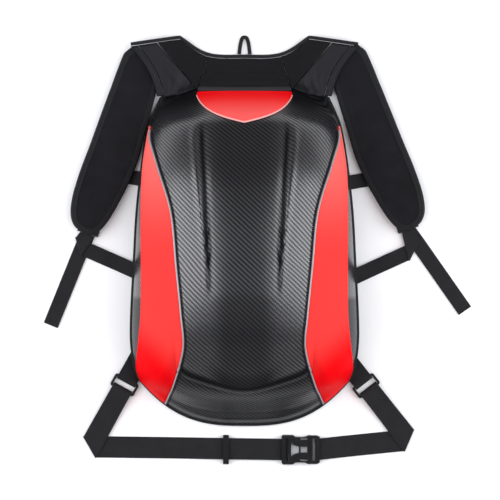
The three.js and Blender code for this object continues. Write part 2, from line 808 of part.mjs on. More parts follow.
function addUpperWeb(side) {
  const { hand, upperWeb } = side;
  const angle = radians(upperWeb.splay);
  const along = point(hand * Math.sin(angle), Math.cos(angle), 0);
  const reach = upperWebReach;
  const outside = point(hand * upperWeb.x * shellHalfWidth, upperWeb.y * halfLength, 0)
    .addScaledVector(along, reach);
  const start = meetRim(outside, along, sideWebWidth);
  const heights = [webRootHeight, webSag, floorWeb, floorWeb];
  const shares = [0, 0.12, 0.3, 1];
  const path = shares.map((share, k) => {
    return start.clone().addScaledVector(along, reach * share).setZ(heights[k]);
  });
  addMesh(`upper_side_web_${side.name}`, looks.web, straightBand(path, along, sideWebWidth * 0.95));
}

function strapEnd(side) {
  const { start, along } = strapFrame(side);
  return { end: start.clone().addScaledVector(along, strapLength), along };
}

// The half-width direction of a band that meets the adjuster's edge squarely
function edgeLike(across, along) {
  const edge = up.clone().cross(along).setLength(across.length());
  return edge.dot(across) < 0 ? edge.negate() : edge;
}

function addAdjuster(side) {
  const { end, along } = strapEnd(side);
  const geometry = new THREE.BoxGeometry(adjusterWidth, adjusterLength, adjusterThickness);
  const mesh = addMesh(`strap_adjuster_${side.name}`, looks.plastic, geometry);
  mesh.position.copy(end).addScaledVector(along, -adjusterLength / 2 - adjusterSetback);
  mesh.position.z = fit + adjusterThickness / 2;
  mesh.rotation.z = Math.atan2(along.y, along.x) + Math.PI / 2;
}

function addSideWeb(side) {
  const { hand, sideWeb } = side;
  const { end, along } = strapEnd(side);
  const fold = point(hand * sideWeb.foldOut, -sideWeb.foldDrop, 0).multiplyScalar(sideWebWidth).add(end);
  const target = end.clone().addScaledVector(along, fit - adjusterSetback);
  const root = point(hand * sideWeb.x * shellHalfWidth, sideWeb.y * halfLength, 0);
  const from = fold.clone().sub(root).normalize();
  const start = meetRim(fold, from, sideWebWidth);
  const to = target.clone().sub(fold).normalize();
  const turn = foldTurn(fold, from, to, sideWebWidth, secondWeb, thirdWeb);
  const left = up.clone().cross(from).setLength(sideWebWidth / 2);
  const leg = fold.distanceTo(start);
  const path = [
    start.clone().setZ(webRootHeight),
    start.clone().addScaledVector(from, leg * 0.06).setZ(webSag),
    start.clone().addScaledVector(from, leg * 0.2).setZ(floorWeb),
    start.clone().addScaledVector(from, leg * 0.35).setZ(floorWeb),
    start.clone().addScaledVector(from, leg * 0.5).setZ(secondWeb),
    start.clone().addScaledVector(from, leg * 0.85).setZ(secondWeb),
    ...turn.path,
    target.clone().setZ(thirdWeb),
  ];
  const across = [
    left, left, left, left, left, left, ...turn.path.map(() => turn.across), edgeLike(turn.next, along),
  ];
  addMesh(`lower_side_web_${side.name}`, looks.web, band(path, across, webThickness));
}

function addTail(side) {
  const { end, along } = strapEnd(side);
  const start = end.clone().addScaledVector(along, fit - adjusterSetback);
  const angle = radians(side.tailSplay);
  const direction = point(side.hand * Math.sin(angle), -Math.cos(angle), 0);
  const path = [0, 0.12, 1].map((share) => {
    return start.clone().addScaledVector(direction, tailLength * share).setZ(floorWeb);
  });
  const level = up.clone().cross(direction).setLength(sideWebWidth / 2);
  const across = path.map((_, k) => (k === 0 ? edgeLike(level, along) : level));
  addMesh(`strap_tail_${side.name}`, looks.web, band(path, across, webThickness));
}

function addHangLoop() {
  const footY = yokeSeams.centre.highY * halfLength + 2 * fit;
  const z = fit + loopLift;
  const half = loopWebWidth / 2;
  const middleX = (share) => (loopHalfGap + half) * (1 - share * 0.42);
  const leg = (hand) => [0, 0.35, 0.7, 0.9].map((share) => {
    return point(hand * middleX(share), footY + share * (loopLength - half), z);
  });
  const crown = point(0, footY + loopLength - half, z);
  const path = [...leg(-1), crown, ...leg(1).reverse()];
  const across = path.map((place, k) => {
    const before = path[Math.max(0, k - 1)];
    const after = path[Math.min(path.length - 1, k + 1)];
    const side = up.clone().cross(after.clone().sub(before).normalize());
    return side.setLength(half);
  });
  addMesh('hang_loop', looks.web, band(path, across, webThickness));
}

// Hip belt

function ringFrame({ hand, ring }) {
  const angle = radians(ring.splay);
  const outward = point(hand * Math.sin(angle), -Math.cos(angle), 0);
  const outside = point(hand * ring.x * shellHalfWidth, ring.y * halfLength, 0)
    .addScaledVector(outward, ringLength);
  const centre = meetRim(outside, outward, ringLength)
    .addScaledVector(outward, ringWidth / 2 + tabReach * ring.reach);
  return { centre, outward, across: up.clone().cross(outward) };
}

const wrapRadius = ringBar / 2 * Math.SQRT2 + fit + webThickness / 2;
const ringZ = floorWeb + wrapRadius;
const ringBarReach = (ringWidth - ringBar) / 2;

function roundedFrame(length, width, bar, thickness) {
  const outline = (halfL, halfW, radius, path) => {
    path.moveTo(-halfL + radius, -halfW);
    path.lineTo(halfL - radius, -halfW);
    path.absarc(halfL - radius, -halfW + radius, radius, -Math.PI / 2, 0, false);
    path.lineTo(halfL, halfW - radius);
    path.absarc(halfL - radius, halfW - radius, radius, 0, Math.PI / 2, false);
    path.lineTo(-halfL + radius, halfW);
    path.absarc(-halfL + radius, halfW - radius, radius, Math.PI / 2, Math.PI, false);
    path.lineTo(-halfL, -halfW + radius);
    path.absarc(-halfL + radius, -halfW + radius, radius, Math.PI, 1.5 * Math.PI, false);
    return path;
  };
  const shape = outline(length / 2, width / 2, bar, new THREE.Shape());
  shape.holes.push(outline(length / 2 - bar, width / 2 - bar, bar * 0.3, new THREE.Path()));
  const geometry = new THREE.ExtrudeGeometry(shape, {
    depth: thickness, bevelEnabled: false, curveSegments: 3,
  });
  return geometry.translate(0, 0, -thickness / 2);
}

function addRing(side) {
  const { centre, across } = ringFrame(side);
  const geometry = roundedFrame(ringLength, ringWidth, ringBar, ringBar);
  const mesh = addMesh(`belt_ring_${side.name}`, looks.plastic, geometry);
  mesh.position.copy(centre).setZ(ringZ);
  mesh.rotation.z = Math.atan2(across.y, across.x);
}

// The end of a band wrapped round a bar: it comes in above the bar and returns beneath it.
function wrapPath(bar, towards, returnLength) {
  const turn = [90, 54, 18, -18, -54, -90].map((degrees) => {
    const angle = radians(degrees);
    return bar.clone().addScaledVector(towards, wrapRadius * Math.cos(angle))
      .setZ(ringZ + wrapRadius * Math.sin(angle));
  });
  const back = bar.clone().addScaledVector(towards, -returnLength).setZ(ringZ - wrapRadius);
  return [...turn, back];
}

const wrapTop = ringZ + wrapRadius;

function addBeltTab(side) {
  const { centre, outward } = ringFrame(side);
  const bar = centre.clone().addScaledVector(outward, -ringBarReach);
  const root = meetRim(bar, outward, beltWidth).setZ(bindingLift + bindingHeight * 0.6);
  const lean = radians(130);
  const over = bar.clone().addScaledVector(outward, wrapRadius * Math.cos(lean))
    .setZ(ringZ + wrapRadius * Math.sin(lean));
  const path = [root, over, ...wrapPath(bar, outward, tabReach)];
  const across = up.clone().cross(outward).setLength(beltWidth / 2 - beltEase);
  addMesh(`belt_tab_${side.name}`, looks.web, band(path, path.map(() => across), webThickness));
}

function addBelt(side, innerX) {
  const { hand, foldRise } = side;
  const { centre, outward } = ringFrame(side);
  const bar = centre.clone().addScaledVector(outward, ringBarReach);
  const drop = bar.y - beltY - foldRise * beltWidth;
  const corner = bar.clone().addScaledVector(outward, -drop / outward.y);
  const inner = point(innerX, beltY, 0);
  const from = corner.clone().sub(inner).normalize();
  const middle = bar.clone().addScaledVector(outward, beltRun);
  const to = middle.clone().sub(corner).normalize();
  const turn = foldTurn(corner, from, to, beltWidth, floorWeb, secondWeb);
  const left = up.clone().cross(from).setLength(beltWidth / 2);
  const inwards = outward.clone().negate();
  const ringAcross = turn.next.clone().projectOnVector(up.clone().cross(outward))
    .setLength(beltWidth / 2 - beltEase);
  const leg = corner.distanceTo(inner);
  const along = (reach) => inner.clone().addScaledVector(from, reach);
  const raised = hand < 0 ? innerX - sliderX + sliderWidth : leg * 0.12;
  const sliderMiddle = fit + sliderHeight / 2;
  const path = [
    along(0).setZ(buckleMiddle),
    along(raised * 0.4).setZ(hand < 0 ? sliderMiddle : buckleMiddle),
    along(raised).setZ(hand < 0 ? sliderMiddle : mix(floorWeb, buckleMiddle, 0.8)),
    along(raised + leg * 0.2).setZ(floorWeb),
    along(leg - beltWidth * 1.1).setZ(floorWeb),
    ...turn.path,
    corner.clone().lerp(middle, 0.45).setZ(secondWeb),
    middle.clone().setZ(mix(secondWeb, wrapTop, 0.4)),
    bar.clone().addScaledVector(outward, beltFlatEnd).setZ(wrapTop),
    ...wrapPath(bar, inwards, beltReturn),
  ];
  const across = [
    left, left, left, left, left,
    ...turn.path.map(() => turn.across),
    turn.next,
    turn.next.clone().lerp(ringAcross, 0.7),
    ...Array(8).fill(ringAcross),
  ];
  addMesh(`belt_web_${side.name}`, looks.web, band(path, across, webThickness));
}

const buckleMiddle = fit + buckleThickness / 2;

const sliderHeight = 2 * sliderWall + webThickness + 4 * fit;

// Frame that the belt runs through, set clear of the webbing all round
function addSlider(x) {
  const geometry = roundedFrame(sliderLength, sliderHeight, sliderWall, sliderWidth);
  const mesh = addMesh('belt_slider', looks.plastic, geometry.rotateX(Math.PI / 2).rotateZ(Math.PI / 2));
  mesh.position.set(x, beltY, fit + sliderHeight / 2);
}

// Solid booleans
const manifold = await Module();
manifold.setup();

function toSolid(geometry) {
  const bare = geometry.clone();
  bare.deleteAttribute('normal');
  bare.deleteAttribute('uv');
  const merged = mergeVertices(bare.index ? bare.toNonIndexed() : bare, 1e-4);
  return new manifold.Manifold(new manifold.Mesh({
    numProp: 3,
    vertProperties: new Float32Array(merged.attributes.position.array),
    triVerts: new Uint32Array(merged.index.array),
  }));
}

function fromSolid(solid) {
  const mesh = solid.getMesh();
  const geometry = new THREE.BufferGeometry();
  geometry.setAttribute('position', new THREE.BufferAttribute(new Float32Array(mesh.vertProperties), 3));
  geometry.setIndex(new THREE.BufferAttribute(new Uint32Array(mesh.triVerts), 1));
  geometry.computeVertexNormals();
  return geometry;
}

const block = (x, y, z, at) => new THREE.BoxGeometry(x, y, z).translate(at.x, at.y, at.z);

function extrudeOutline(points, thickness) {
  const shape = new THREE.Shape(points.map(([x, y]) => new THREE.Vector2(x, y)));
  const geometry = new THREE.ExtrudeGeometry(shape, { depth: thickness, bevelEnabled: false });
  return geometry.translate(0, 0, -thickness / 2);
}

// Side-release buckle: the socket to the left, the plug's tongue inside its mouth
function addBuckle() {
  const half = buckleWidth / 2;
  const outline = [
    [0, -half * 0.9], [buckleCorner, -half], [socketLength * 0.4, -half], [socketLength * 0.5, -half * 0.86],
    [socketLength * 0.82, -half * 0.86], [socketLength, -half], [socketLength, half],
    [socketLength * 0.82, half * 0.86], [socketLength * 0.5, half * 0.86], [socketLength * 0.4, half],
    [buckleCorner, half], [0, half * 0.9],
  ];
  const windowHalf = beltWidth / 2 + 0.8;
  const webWindow = extrudeOutline([
    [socketLength * 0.14, -windowHalf], [socketLength * 0.26, -windowHalf],
    [socketLength * 0.26, windowHalf], [socketLength * 0.14, windowHalf],
  ], buckleThickness * 2);
  const middleWindow = extrudeOutline([
    [socketLength * 0.34, -half * 0.6], [socketLength * 0.42, -half * 0.34],
    [socketLength * 0.62, -buckleWindowHalf], [socketLength * 0.62, buckleWindowHalf],
    [socketLength * 0.42, half * 0.34], [socketLength * 0.34, half * 0.6],
  ], buckleThickness * 2);
  const tongueWindow = (middle) => block(
    socketLength * 0.24, buckleWindowHalf * 2, buckleThickness * 2, point(middle, 0, 0),
  );
  const armSlots = [-1, 1].map((side) => block(
    socketLength * 0.26, half * 0.13, buckleThickness * 2, point(socketLength * 0.8, side * half * 0.72, 0),
  ));
  const mouthDepth = tongueLength + fit;
  const end = point(socketLength, 0, 0);
  const mouth = block(mouthDepth * 2, tongueWidth + 2 * fit, tongueThickness + 2 * fit, end);
  const webPass = webThickness + 3 * fit;
  const throat = block(socketLength * 0.4, windowHalf * 2, webPass, point(0, 0, 0));
  const cuts = [webWindow, middleWindow, tongueWindow(socketLength * 0.8), ...armSlots, mouth, throat];
  const socket = cuts.reduce(
    (body, cut) => body.subtract(toSolid(cut)),
    toSolid(extrudeOutline(outline, buckleThickness)),
  );
  const socketMesh = addMesh('buckle_socket', looks.plastic, fromSolid(socket));
  socketMesh.position.set(buckleX, beltY, buckleMiddle);

  const start = socketLength + fit;
  const frame = extrudeOutline([
    [start, -half * 0.97], [start + plugLength * 0.7, -half * 0.97], [start + plugLength, -half * 0.88],
    [start + plugLength, half * 0.88], [start + plugLength * 0.7, half * 0.97], [start, half * 0.97],
  ], buckleThickness * 0.8);
  const root = 2;
  const tongueX = start + (root - tongueLength) / 2;
  const tongue = block(tongueLength + root, tongueWidth, tongueThickness, point(tongueX, 0, 0));
  const slotX = start + plugLength * 0.42;
  const slot = block(buckleSlot, windowHalf * 2, buckleThickness * 2, point(slotX, 0, 0));
  const mouthRight = block(plugLength, windowHalf * 2, webPass, point(start + plugLength, 0, 0));
  const plugCuts = [tongueWindow(socketLength * 0.8), slot, mouthRight];
  const plug = plugCuts.reduce(
    (body, cut) => body.subtract(toSolid(cut)),
    toSolid(frame).add(toSolid(tongue)),
  );
  const plugMesh = addMesh('buckle_plug', looks.plastic, fromSolid(plug));
  plugMesh.position.set(buckleX, beltY, buckleMiddle);
}

addShell();
addBackPanel();
addEdgeBinding();
addBadge();
addBadgePiping();
addYokeCentre();
addYokeStrip();
addNeckBinding();
addHangLoop();
for (const side of sides) {
  addSidePanel(side);
  addSidePiping(side);
  addYokeSide(side);
  addStrap(side);
  addStrapBinding(side, 'outer', 0, outerBindingWraps);
  addStrapBinding(side, 'inner', 0.5, innerBindingWraps);
  addUpperWeb(side);
  addAdjuster(side);
  addSideWeb(side);
  addTail(side);
  addRing(side);
  addBeltTab(side);
}
addBelt(sides[0], buckleX + socketLength * 0.22);
addBelt(sides[1], buckleX + socketLength + plugLength * 0.62);
addSlider(sliderX);
addBuckle();

export default part;
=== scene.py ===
import math

import bmesh
import bpy
import numpy as np
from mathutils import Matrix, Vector


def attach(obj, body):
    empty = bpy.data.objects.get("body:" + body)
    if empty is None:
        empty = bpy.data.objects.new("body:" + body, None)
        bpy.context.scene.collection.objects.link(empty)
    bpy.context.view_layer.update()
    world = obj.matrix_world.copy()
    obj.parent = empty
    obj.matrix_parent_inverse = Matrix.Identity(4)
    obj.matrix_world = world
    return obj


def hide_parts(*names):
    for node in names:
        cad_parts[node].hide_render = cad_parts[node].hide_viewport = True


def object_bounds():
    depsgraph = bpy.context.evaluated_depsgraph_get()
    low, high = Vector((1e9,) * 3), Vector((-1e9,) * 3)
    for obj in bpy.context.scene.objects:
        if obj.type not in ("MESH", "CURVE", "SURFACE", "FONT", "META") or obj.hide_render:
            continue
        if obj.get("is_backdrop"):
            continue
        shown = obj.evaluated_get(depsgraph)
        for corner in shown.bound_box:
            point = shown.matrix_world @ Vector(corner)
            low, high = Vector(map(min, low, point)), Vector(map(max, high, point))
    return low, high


# Hard shell backpack lying on its back: the finish of every surface, around the fixed frame.
# Shapes are worked out in millimetres and stored in metres. The shell's crown faces +Z and the
# head end faces +Y.

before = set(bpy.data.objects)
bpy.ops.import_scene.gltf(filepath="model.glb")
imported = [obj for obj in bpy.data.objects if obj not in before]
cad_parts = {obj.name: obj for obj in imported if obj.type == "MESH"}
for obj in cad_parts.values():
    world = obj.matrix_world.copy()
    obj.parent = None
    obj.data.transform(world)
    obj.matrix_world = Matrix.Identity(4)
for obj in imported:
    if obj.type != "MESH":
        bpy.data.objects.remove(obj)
cad_low, cad_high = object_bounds()

MM = 0.001
SHARP_EDGE = 50
FITTING_EDGE = 0.7

# Points across and along the shell
SHELL_ACROSS = 185
SHELL_ALONG = 225

# The camera's view, in metres
VIEW_WIDTH = 0.702
VIEW_HEIGHT = 2.6
VIEW_X = 0.0077
VIEW_Y = 0.0059

# Clearances
FIT = 0.3
CLOTH_GAP = 1.6
SKIN_SEAT = 0.8

# Moulded shell
SHELL_LENGTH = 474
SHELL_HALF_WIDTH = 157
SHELL_DEPTH = 146
SHELL_WALL = 3.5
BACK_THICKNESS = 8
EDGE_BOW = 2.8
CROWN_POWER = 2.5
HALF_LENGTH = SHELL_LENGTH / 2
RIM_HEIGHT = BACK_THICKNESS + FIT

# Lines moulded into the shell
GROOVE_HALF_TOP = 53
GROOVE_HALF_LOW = 45
RIDGE_RUN_TOP = 16
RIDGE_RUN_LOW = 4
PANEL_SINK = 5
SINK_SPAN = {"low_end": -0.25, "low": 0.04, "high": 0.62, "high_end": 0.79}
CREASE_STEP = 9
CREASE_RUN = 8
CREASE = {"lowest": -0.77, "rise": 0.34, "hook": 0.35, "power": 11, "fade": 0.9, "fade_end": 1.12}
RELIEF_FLOOR = 10
RELIEF_FULL = 40
RIDGE_HEIGHT = 2.3
RIDGE_SPREAD = 2.4
CHANNEL_DEPTH = 2.7
CHANNEL_SPREAD = 3.6
ROLL_DEPTH = 7
ROLL_REACH = 34
CREASE_ROUND = 0.25

# How dark the painted shade is in each hollow, on the apron, head slope and middle, and the spread of the
# channel's dark line
PAINTED_SHADE = {"channel": 0.95, "crease": 0.95, "apron": 0.7, "head": 0.75, "middle": 0.5}
PAINTED_SHADE_SPREAD = 3.4

# Tows of the twill
TOW_ACROSS = 1.76
TOW_ALONG = 1.66

# Skins and trims on the shell
SKIN_THICKNESS = 1.2
SKIN_SINK = 0.5
PIPING_WIDTH = 3
PIPING_THICKNESS = 1.6
BADGE_LENGTH = 46
BINDING_WIDTH = 3.6
BINDING_HEIGHT = 6.4

# Yoke
YOKE_THICKNESS = 3.5
SATIN_THICKNESS = 2
HEM_WIDTH = 10
NECK_BINDING_WIDTH = 5
NECK_BINDING_THICKNESS = 5
STRIP_WIDTH = 6
HEM_BULGE = 7
MESH_FOOT = 2
DRAPE_SLOPE = 1.1
DRAPE_BLEND = 5
DRAPE_FLOOR = 0.9

# Shoulder straps
STRAP_LENGTH = 241
STRAP_HALF_WIDTH = 35
STRAP_THICKNESS = 10
STRAP_FLOOR_GAP = 2.3
STRAP_SQUASH = 0.35
STRAP_INSET = 1.4
TAPE_OUTER = 9.5
TAPE_INNER = 7

# Webbing
WEB_THICKNESS = 1.6
BAND_EDGE = 0.75
SIDE_WEB_WIDTH = 21
TAIL_LENGTH = 138
UPPER_WEB_REACH = 42
LOOP_LENGTH = 27
LOOP_WEB_WIDTH = 6.5
LOOP_HALF_GAP = 4.2
LOOP_LIFT = 1.9
ADJUSTER_THICKNESS = 5.4
ADJUSTER_SETBACK = 1
WEB_ROOT_HEIGHT = 4.2
WEB_SAG = 3.5

# Hip belt and its fittings
BELT_WIDTH = 30
BELT_EASE = 0.6
BELT_RUN = 36
BELT_FLAT_END = 9
BELT_RETURN = 12
BELT_Y = -HALF_LENGTH - 36.8
RING_LENGTH = 37
RING_WIDTH = 19
RING_BAR = 3.6
TAB_REACH = 4
SLIDER_X = -26
SLIDER_WIDTH = 8
SLIDER_WALL = 2.6
BUCKLE_X = 52
SOCKET_LENGTH = 39
BUCKLE_THICKNESS = 9
PLUG_LENGTH = 14

# Sides of a thread, and the sections of one stitch: share of its length, size, and rise by its radius
THREAD_SIDES = 6
STITCH_RINGS = [(0, 0.35, -0.25), (0.22, 0.95, 0.0), (0.5, 1, 0.1), (0.78, 0.95, 0.0), (1, 0.35, -0.25)]

# Sections of the shell from its top rim to its bottom rim, as shares of its sizes. red_in and
# red_out bound the side panels as shares of the section's own half width.
SECTIONS = {
    "centre": [1.0, 0.975, 0.928, 0.871, 0.766, 0.624, 0.471, 0.331, 0.231, 0.116, 0.054, 0.0],
    "rim": [0.958, 0.919, 0.881, 0.831, 0.743, 0.616, 0.468, 0.33, 0.247, 0.182, 0.155, 0.135],
    "half": [0.74, 0.794, 0.839, 0.872, 0.912, 0.952, 0.976, 0.997, 1.0, 0.979, 0.957, 0.933],
    "crown": [0.0, 0.12, 0.38, 0.65, 0.86, 0.96, 1.0, 0.96, 0.88, 0.68, 0.36, 0.0],
    "red_in": [0.99, 0.985, 0.98, 0.955, 0.827, 0.662, 0.596, 0.543, 0.525, 0.623, 0.697, 0.757],
    "red_out": [1.0, 0.995, 0.99, 0.985, 0.98, 0.945, 0.916, 0.9, 0.924, 0.975, 0.985, 0.985],
}
RED_TIP_ROW = 2.2
LAST_ROW = len(SECTIONS["centre"]) - 1

# Yoke seams from the centre to the hem: the lower and the upper end of each, x as a share of
# the shell's half width and y of its half length.
YOKE_SEAMS = {
    "centre": {"low": (0.0, 0.955), "high": (0.0, 1.181)},
    "panel": {"low": (0.416, 0.963), "high": (0.327, 1.193)},
    "corner": {"low": (0.416, 0.963), "high": (0.572, 1.289)},
    "satin": {"low": (0.416, 0.963), "high": (0.773, 1.262)},
    "hem": {"low": (0.777, 0.93), "high": (1.012, 1.247)},
}
BADGE_HALF_WIDTH = YOKE_SEAMS["panel"]["low"][0] * SHELL_HALF_WIDTH + 2 * FIT

# Outline of a shoulder strap: at is a share of its length, outer and inner of its half width,
# lift of the adjuster's thickness.
STRAP = {
    "at": [-0.12, -0.07, 0.14, 0.32, 0.5, 0.66, 0.8, 0.88, 0.94, 0.98, 1.0],
    "outer": [0.62, 0.84, 0.91, 0.96, 1.0, 1.05, 1.03, 0.95, 0.8, 0.55, 0.16],
    "inner": [0.78, 0.8, 0.9, 0.96, 1.03, 0.95, 0.8, 0.67, 0.52, 0.33, 0.1],
    "lift": [0, 0, 0, 0, 0, 0.15, 0.65, 0.75, 0.75, 0.75, 0.75],
}

# How each side lies, as shares of the shell's half width and half length, and degrees outward
# from straight down. Folds lie beyond the strap's end or above the belt's line, by shares of the
# webbing's width, and a ring stands off by shares of TAB_REACH.
SIDES = [
    {
        "name": "left", "hand": -1,
        "strap": (0.93, 1.083, 18), "upper_web": (0.925, 0.445, 80),
        "side_web": (0.99, -0.096), "side_fold": (0.55, 0.78), "tail_splay": 22,
        "ring": (1.038, -0.733, 29, 1), "fold_rise": 0.12, "crease": 0.52,
    },
    {
        "name": "right", "hand": 1,
        "strap": (0.943, 1.095, 20), "upper_web": (0.965, 0.427, 80),
        "side_web": (1.02, -0.123), "side_fold": (0.313, 1.29), "tail_splay": 35,
        "ring": (1.068, -0.763, 38, 2.2), "fold_rise": 0.437, "crease": 0.7,
    },
]

FLOOR_WEB = FIT + WEB_THICKNESS / 2
SECOND_WEB = FLOOR_WEB + WEB_THICKNESS + FIT
THIRD_WEB = SECOND_WEB + WEB_THICKNESS + FIT
STRAP_TOP = STRAP_FLOOR_GAP + STRAP_THICKNESS
UP = np.array([0.0, 0.0, 1.0])


# Small sums on arrays

def mix(a, b, share):
    return a + (b - a) * share


def smooth(value, low, high):
    share = np.clip((value - low) / (high - low), 0, 1)
    return share * share * (3 - 2 * share)


def bump(value, middle, spread):
    return np.exp(-(((value - middle) / spread) ** 2))


def unit(vectors):
    length = np.linalg.norm(vectors, axis=-1, keepdims=True)
    return vectors / np.maximum(length, 1e-9)


def xyz(x, y, z):
    return np.stack(np.broadcast_arrays(x, y, z), -1).astype(float)


def cloth_places(across, along):
    return np.stack(np.broadcast_arrays(across, along), -1)


def point(x, y, z=0.0):
    return np.array([x, y, z], float)


def with_height(place, z):
    return point(place[0], place[1], z)


def by_shares(hand, x, y):
    """A place in plan, by shares of the shell's half width and half length."""
    return point(hand * x * SHELL_HALF_WIDTH, y * HALF_LENGTH)


def away(hand, splay):
    """A direction in plan, in degrees outward from straight down."""
    return point(hand * math.sin(math.radians(splay)), -math.cos(math.radians(splay)))


def cubic(p0, p1, p2, p3, share):
    """A Catmull-Rom curve through p1 and p2."""
    rise = (p2 - p0) / 2
    fall = (p3 - p1) / 2
    square = share * share
    cube = square * share
    return ((2 * p1 - 2 * p2 + rise + fall) * cube
            + (-3 * p1 + 3 * p2 - 2 * rise - fall) * square + rise * share + p1)


def read_row(values, row):
    """Values of a table's column at fractional rows."""
    values = np.asarray(values, float)
    last = len(values) - 1
    row = np.clip(np.asarray(row, float), 0, last)
    low = np.floor(row).astype(int)
    ends = [np.clip(low + k, 0, last) for k in (-1, 0, 1, 2)]
    return cubic(*[values[k] for k in ends], row - low)


def read_strap(column, at):
    """A column of the strap's outline at shares of its length."""
    at = np.asarray(at, float)
    row = np.interp(at, STRAP["at"], np.arange(len(STRAP["at"])))
    return read_row(STRAP[column], row)


# Meshes

def add_mesh(name, points, faces, corner_uv, paint, nodes=()):
    """A piece from points and texture places in millimetres, stored in metres."""
    mesh = bpy.data.meshes.new(name)
    mesh.from_pydata((np.asarray(points) * MM).tolist(), [], [list(map(int, f)) for f in faces])
    layer = mesh.uv_layers.new(name="cloth")
    flat = np.concatenate([np.asarray(c, float).reshape(-1, 2) for c in corner_uv]) * MM
    layer.data.foreach_set("uv", flat.astype(np.float32).ravel())
    work = bmesh.new()
    work.from_mesh(mesh)
    bmesh.ops.recalc_face_normals(work, faces=work.faces)
    work.to_mesh(mesh)
    work.free()
    mesh.shade_smooth()
    mesh.set_sharp_from_angle(angle=math.radians(SHARP_EDGE))
    slot, material = PAINTS[paint]
    mesh.materials.append(material)
    piece = bpy.data.objects.new(name, mesh)
    bpy.context.scene.collection.objects.link(piece)
    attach(piece, "root")
    if nodes:
        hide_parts(*nodes)
    return piece


def grid_faces(rows, columns, wrap=False):
    """Faces of a grid of points, and the row and column of each face's corners."""
    across = columns if wrap else columns - 1
    j, i = np.meshgrid(np.arange(rows - 1), np.arange(across), indexing="ij")
    corners = [(j, i), (j, i + 1), (j + 1, i + 1), (j + 1, i)]
    faces = np.stack([r * columns + c % columns for r, c in corners], -1)
    places = np.stack([np.stack([r, c], -1) for r, c in corners], 2)
    return faces.reshape(-1, 4), places.reshape(-1, 4, 2)


def add_sheet(node, top, bottom, paint):
    """A closed finish for a node between two grids of points."""
    rows, columns = top.shape[:2]
    uv = grid_uv(top)
    points = np.concatenate([top.reshape(-1, 3), bottom.reshape(-1, 3)])
    upper, places = grid_faces(rows, columns)
    faces = list(upper) + list(upper[:, ::-1] + rows * columns)
    uvs = list(uv[places[..., 0], places[..., 1]])
    uvs += list(uv[places[:, ::-1, 0], places[:, ::-1, 1]])
    index = np.arange(rows * columns).reshape(rows, columns)
    rim = np.concatenate([index[0, :-1], index[:-1, -1], index[-1, :0:-1], index[:0:-1, 0]])
    flat_uv = uv.reshape(-1, 2)
    for a, b in zip(rim, np.roll(rim, -1)):
        faces.append([a, b, b + rows * columns, a + rows * columns])
        uvs.append(flat_uv[[a, b, b, a]])
    return add_mesh(node + "_finish", points, faces, uvs, paint, [node])


def add_tube(name, rings, uv, paint, nodes=(), closed=False):
    """A run of closed sections. uv holds one more column than rings, to close the seam."""
    if closed:
        rings = np.concatenate([rings, rings[:1]])
    rows, columns = rings.shape[:2]
    faces, places = grid_faces(rows, columns, wrap=True)
    uvs = list(uv[places[..., 0], places[..., 1]])
    faces = list(faces)
    points = rings.reshape(-1, 3)
    if closed:
        count = (rows - 1) * columns
        faces = [f % count for f in faces]
        points = points[:count]
    else:
        for row in (0, rows - 1):
            faces.append(row * columns + np.arange(columns))
            uvs.append(uv[row, :columns])
    return add_mesh(name, points, faces, uvs, paint, nodes)


def run_length(points, axis):
    """How far along an axis of a grid each point lies."""
    steps = np.linalg.norm(np.diff(points, axis=axis), axis=-1)
    pad = [(0, 0)] * steps.ndim
    pad[axis] = (1, 0)
    return np.cumsum(np.pad(steps, pad), axis=axis)


def girth_of(rings):
    """How far round its section each point of a tube lies, with the first point again at the end."""
    return run_length(np.concatenate([rings, rings[:, :1]], 1), 1)


def grid_uv(points):
    """Texture places by the length of cloth across and along a grid, measured from its middle."""
    rows, columns = points.shape[:2]
    across = run_length(points, 1)
    along = run_length(points, 0)
    return np.stack([across - across[:, columns // 2, None], along - along[rows // 2]], -1)


def edge_fall(share, size, radius):
    """How thick a padded panel is near its edges, as a share of its full thickness."""
    inside = np.minimum(share, 1 - share) * size
    reach = np.clip(inside / radius, 0, 1)
    return np.sqrt(1 - (1 - reach) ** 2)


# Materials

class NodeTree:
    """Shader nodes, with short calls to add and join them."""

    def __init__(self, tree):
        self.tree = tree

    def put(self, socket, value):
        if isinstance(value, bpy.types.NodeSocket):
            self.tree.links.new(value, socket)
        elif isinstance(value, tuple) and len(value) == 3 and socket.type == "RGBA":
            socket.default_value = (*value, 1)
        else:
            socket.default_value = value

    def node(self, kind, settings=None, **inputs):
        made = self.tree.nodes.new(kind)
        for key, value in (settings or {}).items():
            setattr(made, key, value)
        for key, value in inputs.items():
            self.put(made.inputs[key.replace("_", " ")], value)
        return made

    def sum(self, operation, *values):
        made = self.node("ShaderNodeMath", {"operation": operation})
        for socket, value in zip(made.inputs, values):
            self.put(socket, value)
        return made.outputs[0]

    def rise(self, value, low, high):
        """A soft step: 0 up to one value, and 1 from another on."""
        settings = {"interpolation_type": "SMOOTHSTEP"}
        return self.node("ShaderNodeMapRange", settings, Value=value, From_Min=low, From_Max=high).outputs[0]

    def scaled(self, value, low, high):
        """A value from 0 to 1 spread between two others."""
        return self.sum("MULTIPLY_ADD", value, high - low, low)


